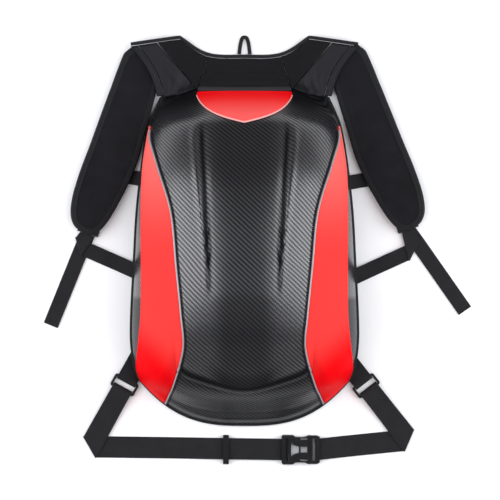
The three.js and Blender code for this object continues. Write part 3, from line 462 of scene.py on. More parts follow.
class Paint(NodeTree):
    """A material made of nodes."""

    def __init__(self, name):
        self.material = bpy.data.materials.new(name)
        self.material.use_nodes = True
        super().__init__(self.material.node_tree)

    def blend(self, share, first, second):
        made = self.node("ShaderNodeMix", {"data_type": "RGBA"})
        for key, value in (("Factor", share), ("A", first), ("B", second)):
            self.put(made.inputs[key], value)
        return made.outputs["Result"]

    def cloth(self):
        """Texture places across and along the cloth, in metres."""
        places = self.node("ShaderNodeUVMap", {"uv_map": "cloth"})
        split = self.node("ShaderNodeSeparateXYZ", Vector=places.outputs[0])
        return split.outputs[0], split.outputs[1]

    def place(self):
        return self.node("ShaderNodeTexCoord").outputs["Object"]

    def noise(self, size, detail=2.0):
        """Smooth noise with features of a size in millimetres, from 0 to 1."""
        return self.node("ShaderNodeTexNoise", Vector=self.place(), Scale=1 / (size * MM),
                         Detail=detail).outputs[0]

    def cells(self, size):
        """How far each place is from its cell's middle, with cells of a size in millimetres."""
        made = self.node("ShaderNodeTexVoronoi", Vector=self.place(), Scale=1 / (size * MM))
        return made.outputs["Distance"]

    def wave(self, value, pitch, offset=0.0):
        """A sine of a length, with a pitch in millimetres, from -1 to 1."""
        turns = self.sum("MULTIPLY", value, 2 * math.pi / (pitch * MM))
        return self.sum("SINE", self.sum("ADD", turns, offset))

    def bump(self, height, depth):
        """A normal from a height between 0 and 1, of a depth in millimetres."""
        return self.node("ShaderNodeBump", Height=height, Distance=depth * MM).outputs[0]

    def finish(self, **inputs):
        shader = self.tree.nodes["Principled BSDF"]
        for key, value in inputs.items():
            self.put(shader.inputs[key.replace("_", " ")], value)
        return self.material


def carbon_cloth():
    """Twill of flat tows: each passes over two and under two, stepping by one each row."""
    paint = Paint("carbon_shell")
    across, along = paint.cloth()
    u = paint.sum("DIVIDE", across, TOW_ACROSS * MM)
    v = paint.sum("DIVIDE", along, TOW_ALONG * MM)
    step = paint.sum("ADD", paint.sum("FLOOR", u), paint.sum("FLOOR", paint.sum("MULTIPLY", v, -1.0)))
    over = paint.sum("LESS_THAN", paint.sum("FLOORED_MODULO", step, 4.0), 1.5)
    under = paint.sum("SUBTRACT", 1.0, over)
    crown_u, crown_v = (
        paint.sum("SINE", paint.sum("MULTIPLY", paint.sum("FRACT", side), math.pi)) for side in (u, v)
    )
    crown = paint.sum("ADD", paint.sum("MULTIPLY", over, crown_u), paint.sum("MULTIPLY", under, crown_v))
    height = paint.sum("ADD", paint.sum("MULTIPLY", over, 0.45), paint.sum("MULTIPLY", 0.5, crown))
    # Painted shade from the shell's attribute: it darkens the base colour and cuts the gloss and coat
    painted_shade = paint.node("ShaderNodeAttribute", {"attribute_name": "painted_shade"}).outputs["Fac"]
    open_part = paint.sum("SUBTRACT", 1.0, painted_shade)
    shine = paint.sum("MULTIPLY", over, open_part)
    wear = paint.scaled(paint.noise(60, 3.0), -0.04, 0.04)
    # Over tows on open lacquer get a paler base colour, a painted highlight for the light they catch
    lit = paint.blend(paint.noise(0.6, 2.0), (0.004, 0.004, 0.006), (0.018, 0.018, 0.024))
    # Roughness raised under the painted shade, with an uneven wear
    shade_and_wear_roughness = paint.sum("MULTIPLY_ADD", painted_shade, 0.12, wear)
    return paint.finish(
        Base_Color=paint.blend(shine, (0.0018, 0.0018, 0.0026), lit),
        Roughness=paint.sum("ADD", paint.scaled(over, 0.36, 0.26), shade_and_wear_roughness),
        Normal=paint.bump(height, 0.12),
        Specular_IOR_Level=paint.sum("MULTIPLY_ADD", shine, 0.85, paint.scaled(open_part, 0.03, 0.29)),
        Coat_Weight=paint.sum("MULTIPLY", open_part, 0.35),
        Coat_Roughness=0.24,
    )


def leathercloth(paint, color, rough_low, rough_high, shine):
    """Smooth moulded leathercloth with a fine pebble grain."""
    height = paint.sum("ADD", paint.cells(0.9), paint.noise(5))
    return paint.finish(
        Base_Color=color, Roughness=paint.scaled(paint.noise(25), rough_low, rough_high),
        Normal=paint.bump(height, 0.05), Specular_IOR_Level=shine,
    )


def red_skin():
    """Deep red round the lower end, a painted shade where the panel turns down away from the light, and
    paler up the flank, a painted sheen.
    """
    paint = Paint("red_skin")
    place = paint.node("ShaderNodeSeparateXYZ", Vector=paint.place()).outputs
    slant = paint.sum("ADD", place[1], paint.sum("MULTIPLY", paint.sum("ABSOLUTE", place[0]), -0.85))
    # Paler towards the head: a painted sheen
    upper = paint.blend(paint.rise(place[1], 0.0, 0.16), (0.84, 0.04, 0.036), (0.88, 0.13, 0.115))
    # Below the slanting line, the deep red is painted shade on the part that turns down
    color = paint.blend(paint.rise(slant, -0.26, -0.2), (0.74, 0.0, 0.003), upper)
    return leathercloth(paint, color, 0.45, 0.55, 0.02)


def badge_skin():
    """Deeper in colour towards its upper edge, a painted shade on the steep upper slope, and paler below, a
    painted sheen where it tilts towards the light.
    """
    paint = Paint("badge_skin")
    place = paint.node("ShaderNodeSeparateXYZ", Vector=paint.place()).outputs
    # Painted sheen low on the badge, painted shade at its upper edge
    color = paint.blend(paint.rise(place[1], 0.185, 0.222), (0.95, 0.1, 0.09), (0.9, 0.0, 0.003))
    return leathercloth(paint, color, 0.42, 0.52, 0.12)


def woven(name, dark, light, pitch, depth, roughness, sheen=0.02, coarse=40, shine=0.2):
    """Plain cloth: threads crossing at a pitch in millimetres, with a faint uneven fade."""
    paint = Paint(name)
    across, along = paint.cloth()
    weave = paint.sum("MULTIPLY", paint.wave(across, pitch), paint.wave(along, pitch))
    fade = paint.noise(coarse, 4.0)
    # Raised thread crests are painted lighter in the base colour, a painted highlight, over the uneven fade
    return paint.finish(
        Base_Color=paint.blend(paint.sum("MULTIPLY_ADD", weave, 0.25, fade), dark, light),
        Roughness=paint.scaled(fade, roughness - 0.05, roughness + 0.05),
        Normal=paint.bump(paint.sum("MULTIPLY_ADD", weave, 0.5, 0.5), depth),
        Sheen_Weight=sheen, Sheen_Roughness=0.45, Specular_IOR_Level=shine,
    )


def air_mesh():
    """Spacer mesh of the padded yoke: small holes in staggered rows."""
    paint = Paint("yoke_mesh")
    wall = paint.node("ShaderNodeMapRange", Value=paint.cells(1.7), From_Min=0.12, From_Max=0.4).outputs[0]
    # The holes are painted darker than the raised walls: painted shade in the holes
    return paint.finish(
        Base_Color=paint.blend(wall, (0.002, 0.002, 0.0025), (0.008, 0.008, 0.0095)),
        Roughness=paint.scaled(paint.noise(30), 0.82, 0.95), Normal=paint.bump(wall, 0.3),
        Sheen_Weight=0.03, Sheen_Roughness=0.5, Specular_IOR_Level=0.12,
    )


def webbing_cloth():
    """Ribbed webbing: raised cross ribs in staggered rows of warp threads."""
    paint = Paint("webbing")
    across, along = paint.cloth()
    rows = paint.sum("FLOOR", paint.sum("DIVIDE", across, 1.5 * MM))
    shift = paint.sum("MULTIPLY", paint.sum("FLOORED_MODULO", rows, 2.0), math.pi)
    rib = paint.wave(along, 2.8, shift)
    threads = paint.sum("MULTIPLY_ADD", paint.wave(across, 1.5), 0.3, rib)
    fade = paint.noise(18, 4.0)
    # Raised rib crests are painted lighter, a painted highlight, over an uneven fade
    share = paint.sum("MULTIPLY_ADD", rib, 0.4, fade)
    return paint.finish(
        Base_Color=paint.blend(share, (0.001, 0.001, 0.0015), (0.013, 0.013, 0.0155)),
        Roughness=paint.scaled(fade, 0.62, 0.78),
        Normal=paint.bump(paint.sum("MULTIPLY_ADD", threads, 0.3, 0.5), 0.3),
        Sheen_Weight=0.04, Sheen_Roughness=0.4, Specular_IOR_Level=0.25,
    )


def reflective_tape():
    """Pale grey reflective piping with a faint bead texture."""
    paint = Paint("grey_piping")
    beads = paint.noise(0.5, 1.0)
    return paint.finish(
        Base_Color=paint.blend(paint.noise(12), (0.26, 0.25, 0.27), (0.38, 0.37, 0.39)),
        Roughness=paint.scaled(beads, 0.3, 0.5), Normal=paint.bump(beads, 0.08), Metallic=0.25,
    )


def pale_pink_tape():
    """Piping of the badge, a paler tint of its red."""
    paint = Paint("badge_piping")
    color = paint.blend(paint.noise(10), (0.75, 0.3, 0.28), (0.82, 0.4, 0.38))
    return paint.finish(Base_Color=color, Roughness=0.42, Normal=paint.bump(paint.noise(0.6, 1.0), 0.06))


def moulded_plastic():
    """Acetal fittings: fine spark grain, worn a little smoother in patches."""
    paint = Paint("black_plastic")
    patches = paint.noise(9, 3.0)
    return paint.finish(
        Base_Color=paint.blend(patches, (0.004, 0.004, 0.005), (0.01, 0.01, 0.012)),
        Roughness=paint.scaled(patches, 0.3, 0.45), Normal=paint.bump(paint.noise(0.35, 2.0), 0.03),
        Specular_IOR_Level=0.18,
    )


def thread_paint(name, color, tint):
    paint = Paint(name)
    twist = paint.noise(0.7, 1.0)
    return paint.finish(Base_Color=paint.blend(twist, color, tint), Roughness=0.7,
                        Normal=paint.bump(twist, 0.06), Specular_IOR_Level=0.15)


def floor_paint():
    paint = Paint("floor")
    color = paint.blend(paint.noise(400), (0.93, 0.93, 0.93), (0.95, 0.95, 0.95))
    return paint.finish(Base_Color=color, Roughness=0.9, Specular_IOR_Level=0.1)


# Each paint with the slot of the record's material that it stands for
PAINTS = {
    "carbon": ("carbon_shell", carbon_cloth()),
    "red": ("red_skin", red_skin()),
    "badge": ("red_skin", badge_skin()),
    "piping": ("grey_piping", reflective_tape()),
    "pink": ("grey_piping", pale_pink_tape()),
    "mesh": ("yoke_mesh", air_mesh()),
    "satin": ("satin_cloth", woven(
        "satin_cloth", (0.006, 0.006, 0.0075), (0.014, 0.014, 0.017), 0.5, 0.05, 0.42, shine=0.14)),
    "strap": ("strap_padding", woven(
        "strap_padding", (0.0015, 0.0015, 0.0025), (0.012, 0.012, 0.0155), 1.1, 0.3, 0.85, coarse=22)),
    "binding": ("strap_binding", woven(
        "strap_binding", (0.004, 0.004, 0.005), (0.011, 0.011, 0.0125), 0.8, 0.12, 0.6, 0.03, 15)),
    "strip": ("satin_cloth", woven(
        "strip_cloth", (0.018, 0.018, 0.021), (0.034, 0.034, 0.038), 0.6, 0.06, 0.5)),
    "back": ("back_padding", woven(
        "back_padding", (0.008, 0.008, 0.009), (0.018, 0.018, 0.02), 1.6, 0.25, 0.88, 0.03)),
    "web": ("webbing", webbing_cloth()),
    "plastic": ("black_plastic", moulded_plastic()),
    "black_thread": ("strap_binding", thread_paint(
        "black_thread", (0.004, 0.004, 0.005), (0.01, 0.01, 0.011))),
    "grey_thread": ("strap_binding", thread_paint(
        "grey_thread", (0.003, 0.003, 0.004), (0.009, 0.009, 0.01))),
    "red_thread": ("red_skin", thread_paint(
        "red_thread", (0.16, 0.002, 0.006), (0.26, 0.006, 0.01))),
}


# Shell surface, from the frame's own sections

def section(column, row):
    return read_row(SECTIONS[column], row)


def half_width(row):
    return section("half", row) * SHELL_HALF_WIDTH


def shell_plan(across, row):
    share = mix(section("centre", row), section("rim", row), np.abs(across) ** EDGE_BOW)
    return across * half_width(row), SHELL_LENGTH * share - HALF_LENGTH


def groove_line(share):
    """Where the sunk panel ends to each side, and the run up to its ridge, along the shell."""
    groove = mix(GROOVE_HALF_LOW, GROOVE_HALF_TOP, np.clip((share + 0.2) / 0.9, 0, 1))
    return groove, mix(RIDGE_RUN_LOW, RIDGE_RUN_TOP, np.clip((share + 0.12) / 0.75, 0, 1))


def sink_of_panel(x, y):
    """How deep the centre panel is sunk, with a rolled ridge and a fine channel beside it."""
    share = y / HALF_LENGTH
    rise = smooth(share, SINK_SPAN["low_end"], SINK_SPAN["low"])
    along = rise * (1 - smooth(share, SINK_SPAN["high"], SINK_SPAN["high_end"]))
    groove, run = groove_line(share)
    size = np.abs(x)
    sunk = PANEL_SINK * (1 - smooth(size, groove, groove + run))
    ridge = RIDGE_HEIGHT * bump(size, groove + run, RIDGE_SPREAD + run * 0.12)
    channel = CHANNEL_DEPTH * bump(size, groove + run * 0.12, CHANNEL_SPREAD + run * 0.1)
    return along * (sunk + channel - ridge)


def crease_line(x, limit):
    """The crease's own y beside each place, and how far it fades out to the sides."""
    half = limit / CREASE["fade_end"]
    rounded = np.sqrt((x / half) ** 2 + CREASE_ROUND ** 2) - CREASE_ROUND
    share = np.minimum(CREASE["fade_end"], rounded)
    shape = CREASE["rise"] * share + CREASE["hook"] * share ** CREASE["power"]
    fade = 1 - smooth(share, CREASE["fade"], CREASE["fade_end"])
    return CREASE["lowest"] * HALF_LENGTH + half * shape, fade


def step_below_crease(x, y, limit):
    """The step down to the apron, and the dome's own roll before it."""
    line, fade = crease_line(x, limit)
    roll = ROLL_DEPTH * (1 - np.clip((y - line) / ROLL_REACH, 0, 1)) ** 2.5 * smooth(y - line, -10, 3)
    return (CREASE_STEP * smooth(line - y, 0, CREASE_RUN) + roll) * fade


def painted_shade_on_shell(across, row):
    """Painted shade on the shell, from 0 on the flanks to 1 in the hollows: it darkens and dulls the lacquer
    in the channels, above the crease, on the apron, the head slope and the middle.
    """
    x, y = shell_plan(across, row)
    size = np.abs(x)
    share = y / HALF_LENGTH
    groove, run = groove_line(share)
    limit = section("red_in", row) * half_width(row)
    line, fade = crease_line(x, limit)
    above = y - line
    along = smooth(share, -0.3, -0.05) * (1 - smooth(share, 0.66, 0.8))
    channel = PAINTED_SHADE["channel"] * along * bump(size, groove + run * 0.3, PAINTED_SHADE_SPREAD)
    wide = np.maximum(1 - 0.85 * smooth(size / limit, 0.3, 0.7), 1 - smooth(above, 3, 12))
    crease = PAINTED_SHADE["crease"] * fade * (1 - smooth(above, 2, 46)) * smooth(above, -8, -3) * wide
    apron = PAINTED_SHADE["apron"] * smooth(-above, -2, 4)
    head = PAINTED_SHADE["head"] * smooth(share, 0.72, 0.95)
    middle = PAINTED_SHADE["middle"] * (1 - smooth(size, groove * 0.5, groove + run)) * smooth(above, -3, 1)
    return np.clip(np.maximum.reduce([channel, crease, apron, head, middle]), 0, 1)


def shell_point(across, row):
    across, row = np.broadcast_arrays(np.asarray(across, float), np.asarray(row, float))
    x, y = shell_plan(across, row)
    profile = np.sqrt(np.clip(1 - np.abs(across) ** CROWN_POWER, 0, None))
    height = SHELL_DEPTH * np.clip(section("crown", row), 0, None) * profile
    relief = sink_of_panel(x, y) + step_below_crease(x, y, section("red_in", row) * half_width(row))
    lifted = np.clip(height - relief * smooth(height, RELIEF_FLOOR, RELIEF_FULL), 0, None)
    return xyz(x, y, RIM_HEIGHT + lifted)


def shell_normal(across, row, small=0.004):
    a = np.clip(across, -1 + small, 1 - small)
    t = np.clip(row, small, LAST_ROW - small)
    along_x = shell_point(a + small, t) - shell_point(a - small, t)
    along_y = shell_point(a, t - small) - shell_point(a, t + small)
    return unit(np.cross(along_x, along_y))


def off_shell(across, row, distance):
    """Places above the shell, square to it, and level at its rim."""
    across, row, distance = np.broadcast_arrays(across, row, np.asarray(distance, float))
    normal = shell_normal(across, row)
    at_rim = (np.abs(across) > 0.9999) | (row < 1e-4) | (row > LAST_ROW - 1e-4)
    level = unit(normal * np.array([1, 1, 0]))
    normal = np.where(at_rim[..., None], level, normal)
    return shell_point(across, row) + normal * distance[..., None]


def row_at(x, y):
    """The row whose section passes through a place in plan."""
    low = np.zeros(np.broadcast(x, y).shape)
    high = np.full_like(low, LAST_ROW)
    for _ in range(26):
        middle = (low + high) / 2
        above = shell_plan(np.clip(x / half_width(middle), -1, 1), middle)[1] > y
        low = np.where(above, middle, low)
        high = np.where(above, high, middle)
    return (low + high) / 2


def place_on_shell(x, y):
    row = row_at(x, y)
    return np.clip(x / half_width(row), -1, 1), row


def off_shell_at(x, y, distance):
    return off_shell(*place_on_shell(x, y), distance)


def rows_by_length(count):
    """Rows spaced evenly along the shell's crown."""
    fine = np.linspace(0, LAST_ROW, 2000)
    length = run_length(shell_point(0.2, fine), 0)
    return np.interp(np.linspace(0, length[-1], count), length, fine)


def add_shell():
    spread = np.linspace(-1, 1, SHELL_ACROSS)
    across = mix(spread, np.sin(spread * math.pi / 2), 0.75)[None]
    rows = rows_by_length(SHELL_ALONG)[:, None]
    outer = off_shell(across, rows, 0)
    inner = off_shell(across, rows, -SHELL_WALL)
    inner[..., 2] = np.maximum(RIM_HEIGHT, inner[..., 2])
    piece = add_sheet("shell", outer, inner, "carbon")
    # Painted shade on the outer face only; the inner face gets none
    painted_shade = painted_shade_on_shell(*np.broadcast_arrays(across, rows)).ravel()
    layer = piece.data.attributes.new("painted_shade", "FLOAT", "POINT")
    layer.data.foreach_set("value", np.concatenate([painted_shade, 0 * painted_shade]).astype(np.float32))


def add_side_panel(side):
    """The red skin, thicker along a rolled outer edge."""
    rows = np.linspace(RED_TIP_ROW, LAST_ROW - 0.02, 170)[:, None]
    share = np.linspace(0, 1, 29)[None]
    across = side["hand"] * np.minimum(mix(section("red_in", rows), section("red_out", rows), share), 0.995)
    width = (section("red_out", rows) - section("red_in", rows)) * SHELL_HALF_WIDTH
    rolled = 0.7 * bump((1 - share) * width, 2.0, 1.6)
    thick = SKIN_THICKNESS * edge_fall(share, width + 2, 1.5) + rolled
    top = off_shell(across, rows, SKIN_SEAT + thick)
    bottom = off_shell(across, rows, SKIN_SEAT - SKIN_SINK)
    add_sheet(f"side_panel_{side['name']}", top, bottom, "red")


def strip_on_shell(name, line, out, width, thickness, paint, nodes=(), seat=1.25):
    """A half round strip along a line on the shell. out points to the strip's own side."""
    turns = np.linspace(0, math.pi, 9)
    reach = (0.5 - 0.5 * np.cos(turns))[None] * width
    x, y = (line[:, k, None] + out[:, k, None] * reach for k in (0, 1))
    over = off_shell_at(x, y, seat + np.sin(turns)[None] * thickness)
    under = off_shell_at(x[:, -2:0:-1], y[:, -2:0:-1], seat - 0.7)
    rings = np.concatenate([over, under], 1)
    spread = np.linspace(0, width, rings.shape[1] + 1)[None]
    add_tube(name, rings, cloth_places(spread, run_length(rings[:, :1], 0)), paint, nodes)


def red_edge_line(hand, column, rows, inset):
    """Points in plan along an edge of the side panel, moved inward over the shell."""
    spot, after = (np.stack(shell_plan(section(column, r), r), -1) for r in (rows, rows + 0.02))
    tangent = unit(after - spot)
    inward = np.stack([tangent[:, 1], -tangent[:, 0]], -1)
    inward *= np.where(inward[:, :1] > 0, -1, 1)
    flip = np.array([hand, 1])
    return (spot + inward * inset) * flip, inward * flip


def add_side_piping(side):
    """Pale piping along the red skin, and a dark half round strip beside it on the shell."""
    rows = np.linspace(RED_TIP_ROW + 0.3, LAST_ROW - 0.06, 150)
    name = f"piping_{side['name']}"
    line = red_edge_line(side["hand"], "red_in", rows, FIT * 0.5)
    strip_on_shell(name + "_finish", *line, PIPING_WIDTH * 0.68, PIPING_THICKNESS, "piping", [name])
    line = red_edge_line(side["hand"], "red_in", rows, PIPING_WIDTH * 0.7)
    strip_on_shell(name + "_dark_strip", *line, PIPING_WIDTH * 0.5, PIPING_THICKNESS * 0.5, "binding",
                   seat=0.75)


def badge_low(share):
    across = np.abs(share)
    return BADGE_LENGTH * (1 - 0.38 * across) * (1 - across ** 4) ** 0.6


BADGE_TOP = HALF_LENGTH * 0.948
BADGE_END = 0.998


def add_badge():
    share = np.sin(np.linspace(-1, 1, 61) * math.pi / 2)[None] * BADGE_END
    drop_share = np.linspace(0, 1, 29)[:, None]
    drop = badge_low(share) * drop_share
    x = np.broadcast_to(share * BADGE_HALF_WIDTH, drop.shape)
    inside = np.minimum(1.0, badge_low(share) * (1 - drop_share) / 4)
    sides = np.minimum(1.0, (1 - np.abs(share)) * BADGE_HALF_WIDTH / 4)
    puff = 1.4 * np.sqrt(np.clip(inside * sides, 0, 1))
    top = off_shell_at(x, BADGE_TOP - drop, SKIN_SEAT + 0.4 + puff)
    bottom = off_shell_at(x, BADGE_TOP - drop, SKIN_SEAT - SKIN_SINK)
    add_sheet("badge", top, bottom, "badge")


def badge_line(count, inset):
    across = np.sin(np.linspace(-1, 1, count) * math.pi / 2) * BADGE_END
    small = 0.01
    fall = (badge_low(across - small) - badge_low(across + small)) / (2 * small * BADGE_HALF_WIDTH)
    out = unit(np.stack([fall, -np.ones(count)], -1))
    spot = np.stack([across * BADGE_HALF_WIDTH, BADGE_TOP - badge_low(across)], -1)
    return spot + out * inset, out


def add_badge_piping():
    strip_on_shell("badge_piping_finish", *badge_line(90, 0.1), PIPING_WIDTH * 0.55, 1.1, "pink",
                   ["badge_piping"])


# Rim and back

def rim_loop(count):
    """Points round the shell's rim, with the level outward direction at each."""
    share = np.linspace(0, 1, count, endpoint=False)
    edges = [
        (mix(-1, 1, share), 0 * share), (1 + 0 * share, mix(0, LAST_ROW, share)),
        (mix(1, -1, share), LAST_ROW + 0 * share), (-1 + 0 * share, mix(LAST_ROW, 0, share)),
    ]
    x, y = (np.concatenate(v) for v in zip(*[shell_plan(a, r) for a, r in edges]))
    step = np.stack([np.roll(x, -1) - np.roll(x, 1), np.roll(y, -1) - np.roll(y, 1)], -1)
    outward = unit(np.stack([-step[:, 1], step[:, 0]], -1))
    return np.stack([x, y], -1), outward


def add_edge_binding():
    """Bound edge: a folded tape with a seam groove along its middle."""
    spots, outward = rim_loop(90)
    turns = np.linspace(-math.pi / 2, math.pi / 2, 13)
    groove = 0.5 * bump(turns, 0.15, 0.12)
    reach = FIT + (BINDING_WIDTH - groove) * np.cos(turns) ** 0.5
    height = BACK_THICKNESS / 2 + BINDING_HEIGHT / 2 * np.sin(turns)
    rings = xyz(*(spots[:, k, None] + outward[:, k, None] * reach for k in (0, 1)), height[None])
    length = run_length(np.concatenate([rings, rings[:1]])[:, :1], 0)
    uv = cloth_places(np.linspace(0, 14, len(turns) + 1)[None], length)
    add_tube("edge_binding_finish", rings, uv, "binding", ["edge_binding"], closed=True)


def back_relief(x, y):
    """Channels pressed into the padded back: a spine, two ribs and an inset border."""
    half = SHELL_HALF_WIDTH * 0.86
    size = np.abs(x)
    spine = bump(size, 18, 4)
    ribs = sum(bump(y, k * HALF_LENGTH, 5) for k in (-0.45, 0.05, 0.5)) * smooth(size, 18, 30)
    border = bump(size, half * 0.9, 4)
    return np.clip(spine + ribs + border, 0, 1)


def add_back_panel():
    spread = np.linspace(-1, 1, 141)[None]
    x, y = shell_plan(spread, rows_by_length(181)[:, None])
    edge = edge_fall((spread + 1) / 2, 2 * SHELL_HALF_WIDTH, 3)
    ends = edge_fall((y + HALF_LENGTH) / SHELL_LENGTH, SHELL_LENGTH, 3)
    puff = np.clip(edge * ends, 0, 1)
    bottom = xyz(x, y, (1 - puff) * 1.5 + 3.0 * back_relief(x, y) * puff)
    piece = add_sheet("back_panel", xyz(x, y, BACK_THICKNESS), bottom, "back")


# Yoke

def drape_height(x, y):
    row = row_at(x, y)
    half = half_width(row)
    across = np.clip(x / half, -1, 1)
    edge_y = shell_plan(across, row)[1]
    beyond = np.clip(y - edge_y, 0, None) + np.clip(np.abs(x) - half, 0, None)
    surface = shell_point(across, row)[..., 2] - beyond * DRAPE_SLOPE + CLOTH_GAP
    over_strap = STRAP_TOP + FIT + CLOTH_GAP
    rest = mix(DRAPE_FLOOR, over_strap, smooth(np.abs(x) / SHELL_HALF_WIDTH, 0.42, 0.66))
    difference = surface - rest
    return rest + (difference + np.sqrt(difference ** 2 + DRAPE_BLEND ** 2)) / 2


def drape_point(x, y, distance):
    x, y, distance = np.broadcast_arrays(np.asarray(x, float), y, distance)
    small = 0.5
    slope_x = (drape_height(x + small, y) - drape_height(x - small, y)) / (2 * small)
    slope_y = (drape_height(x, y + small) - drape_height(x, y - small)) / (2 * small)
    normal = unit(xyz(-slope_x, -slope_y, 1.0))
    return xyz(x, y, drape_height(x, y)) + normal * distance[..., None]


def seam_end(name, end, hand=1):
    return by_shares(hand, *YOKE_SEAMS[name][end])[:2]


def centripetal(points, count):
    """A smooth curve through points, spaced by the square root of their distances."""
    points = np.asarray(points, float)
    chain = np.concatenate([2 * points[:1] - points[1:2], points, 2 * points[-1:] - points[-2:-1]])
    knots = np.concatenate([[0], np.cumsum(np.linalg.norm(np.diff(chain, axis=0), axis=1) ** 0.5)])

    def between(a, b, low, high, at):
        return (a * (knots[high] - at) + b * (at - knots[low])) / (knots[high] - knots[low])

    made = []
    last = len(chain) - 3
    for k in range(1, last + 1):
        at = np.linspace(knots[k], knots[k + 1], count, endpoint=k == last)[:, None]
        sides = [between(chain[n], chain[n + 1], n, n + 1, at) for n in (k - 1, k, k + 1)]
        halves = [between(sides[n], sides[n + 1], k - 1 + n, k + 1 + n, at) for n in (0, 1)]
        made.append(between(halves[0], halves[1], k, k + 1, at))
    return np.concatenate(made)


def straight_run(start, end, count):
    return mix(start, end, np.linspace(0, 1, count, endpoint=False)[:, None])


# Straight shoulders from the hem to each corner, and a smooth collar between the corners
COLLAR = centripetal(
    [seam_end("corner", "high", -1), seam_end("panel", "high", -1), seam_end("centre", "high"),
     seam_end("panel", "high"), seam_end("corner", "high")], 24)
NECK = np.concatenate([
    straight_run(seam_end("hem", "high", -1), COLLAR[0], 20), COLLAR,
    straight_run(seam_end("hem", "high"), COLLAR[-1], 20)[::-1],
])
NECK_TANGENT = unit(np.gradient(NECK, axis=0))


def cloth_top(x):
    """How far up the yoke's cloth reaches at x, inside the neck binding."""
    y = np.interp(x, NECK[:, 0], NECK[:, 1])
    lean = np.abs(np.interp(x, NECK[:, 0], NECK_TANGENT[:, 0]))
    return y - (NECK_BINDING_WIDTH + FIT) / lean


def seam_x(name, share):
    seam = YOKE_SEAMS[name]
    return mix(seam["low"][0], seam["high"][0], share) * SHELL_HALF_WIDTH


def add_yoke_panel(node, grid, low, high, thickness, relief, paint, bulge=(0, 0)):
    """A padded panel of the yoke. low and high give its corners from side to side."""
    share = np.linspace(0, 1, grid[0])[None]
    rise = np.linspace(0, 1, grid[1])[:, None]
    foot_x, foot_y = low(share)
    top_x = high(share)
    x = mix(foot_x, top_x, rise) - mix(*bulge, share) * np.sin(math.pi * rise)
    y = mix(foot_y, cloth_top(top_x), rise)
    size = np.linalg.norm([np.ptp(x), np.ptp(y)])
    soft = edge_fall(share, size * 0.7, 2.4) * edge_fall(rise, size * 0.5, 2.0)
    lift = thickness * (0.45 + 0.55 * soft) + relief(share, rise)
    return add_sheet(node, drape_point(x, y, lift), drape_point(x, y, 0 * lift), paint)


def yoke_foot(share):
    side = np.abs(2 * share - 1)
    return mix(YOKE_SEAMS["centre"]["low"][1], YOKE_SEAMS["panel"]["low"][1], side * side) * HALF_LENGTH


STRIP_RISE = STRIP_WIDTH / (seam_end("panel", "high")[1] - seam_end("panel", "low")[1])


def add_yoke_centre():
    half_low = seam_x("panel", STRIP_RISE) - FIT
    half_high = seam_x("panel", 1) - FIT
    low = lambda share: (mix(-half_low, half_low, share), yoke_foot(share) + STRIP_WIDTH + FIT)
    high = lambda share: mix(-half_high, half_high, share)

    def quilting(share, rise):
        seams = 0.8 * bump(rise, 0.52, 0.03) + 0.4 * bump(rise, 0.2, 0.02)
        return -seams + 0.5 * np.sin(math.pi * rise) * edge_fall(share, 100, 18)

    piece = add_yoke_panel("yoke_centre", (81, 41), low, high, YOKE_THICKNESS, quilting, "mesh")


def add_yoke_strip():
    share = np.linspace(0, 1, 61)[None]
    across = np.linspace(0, 1, 9)[:, None]
    half = seam_x("panel", across * STRIP_RISE) - FIT
    x = mix(-half, half, share)
    y = yoke_foot(share) + across * STRIP_WIDTH
    fold = SATIN_THICKNESS * (0.4 + 0.6 * edge_fall(across, STRIP_WIDTH, 2.2)) + 0 * share
    top = drape_point(x, y, fold + 0.25)
    piece = add_sheet("yoke_strip", top, drape_point(x, y, 0 * fold), "strip")


def wing_folds(hand):
    """Soft shining wrinkles where the wing pulls towards its lower corner."""
    def relief(share, rise):
        low = 1 - smooth(rise, 0.1, 0.62)
        pull = share * 0.8 + rise * 1.5
        phase = 21 if hand > 0 else 17
        waves = np.sin(pull * phase + 2.2 * np.sin(rise * 5 + share * 2))
        broad = 0.9 * bump(share + 0.6 * rise, 0.75, 0.12) - 0.7 * bump(share - 0.4 * rise, 0.3, 0.1)
        fine = 0.95 * low * waves * np.sin(math.pi * share)
        return fine + broad * low + 0.3 * np.sin(rise * 9 + share * 4) * (1 - low)
    return relief


def add_yoke_side(side):
    """The mesh triangle, the satin wing and its hem, from the middle panel out to the strap."""
    hand = side["hand"]
    name = side["name"]
    seam_y = seam_end("panel", "low")[1] + STRIP_WIDTH * 0.5
    mesh_low = [hand * (seam_x("panel", 0) + inset) for inset in (FIT, MESH_FOOT)]
    mesh_high = [hand * (seam_x(seam, 1) + FIT) for seam in ("panel", "corner", "satin")]
    low = lambda share: (mix(*mesh_low, share), seam_y + 0 * share)
    high = lambda share: np.interp(share, [0, 0.5, 1], mesh_high)
    dimple = lambda share, rise: 0.5 * np.sin(math.pi * share) * smooth(rise, 0, 0.6)
    piece = add_yoke_panel(f"yoke_mesh_{name}", (41, 41), low, high, YOKE_THICKNESS, dimple, "mesh")

    gap = hand * 3 * FIT
    hem = hand * (HEM_WIDTH + FIT)
    bulge = hand * HEM_BULGE
    foot_x, foot_y = seam_end("hem", "low", hand)
    top_x = hand * seam_x("hem", 1)
    low = lambda share: (
        mix(mesh_low[1] + gap, foot_x - hem, share), mix(seam_y, foot_y, np.sin(share * math.pi / 2)))
    high = lambda share: mix(mesh_high[2] + gap, top_x - hem, share)
    piece = add_yoke_panel(f"yoke_wing_{name}", (61, 61), low, high, SATIN_THICKNESS, wing_folds(hand),
                           "satin", (0, bulge))

    low = lambda share: (foot_x - hand * HEM_WIDTH * (1 - share), foot_y + 0 * share)
    high = lambda share: top_x - hand * HEM_WIDTH * (1 - share)
    ridge = lambda share, rise: -0.5 * (bump(share, 0.2, 0.07) + bump(share, 0.62, 0.07))
    piece = add_yoke_panel(f"yoke_hem_{name}", (21, 61), low, high, SATIN_THICKNESS * 1.3, ridge,
                           "satin", (bulge, bulge))


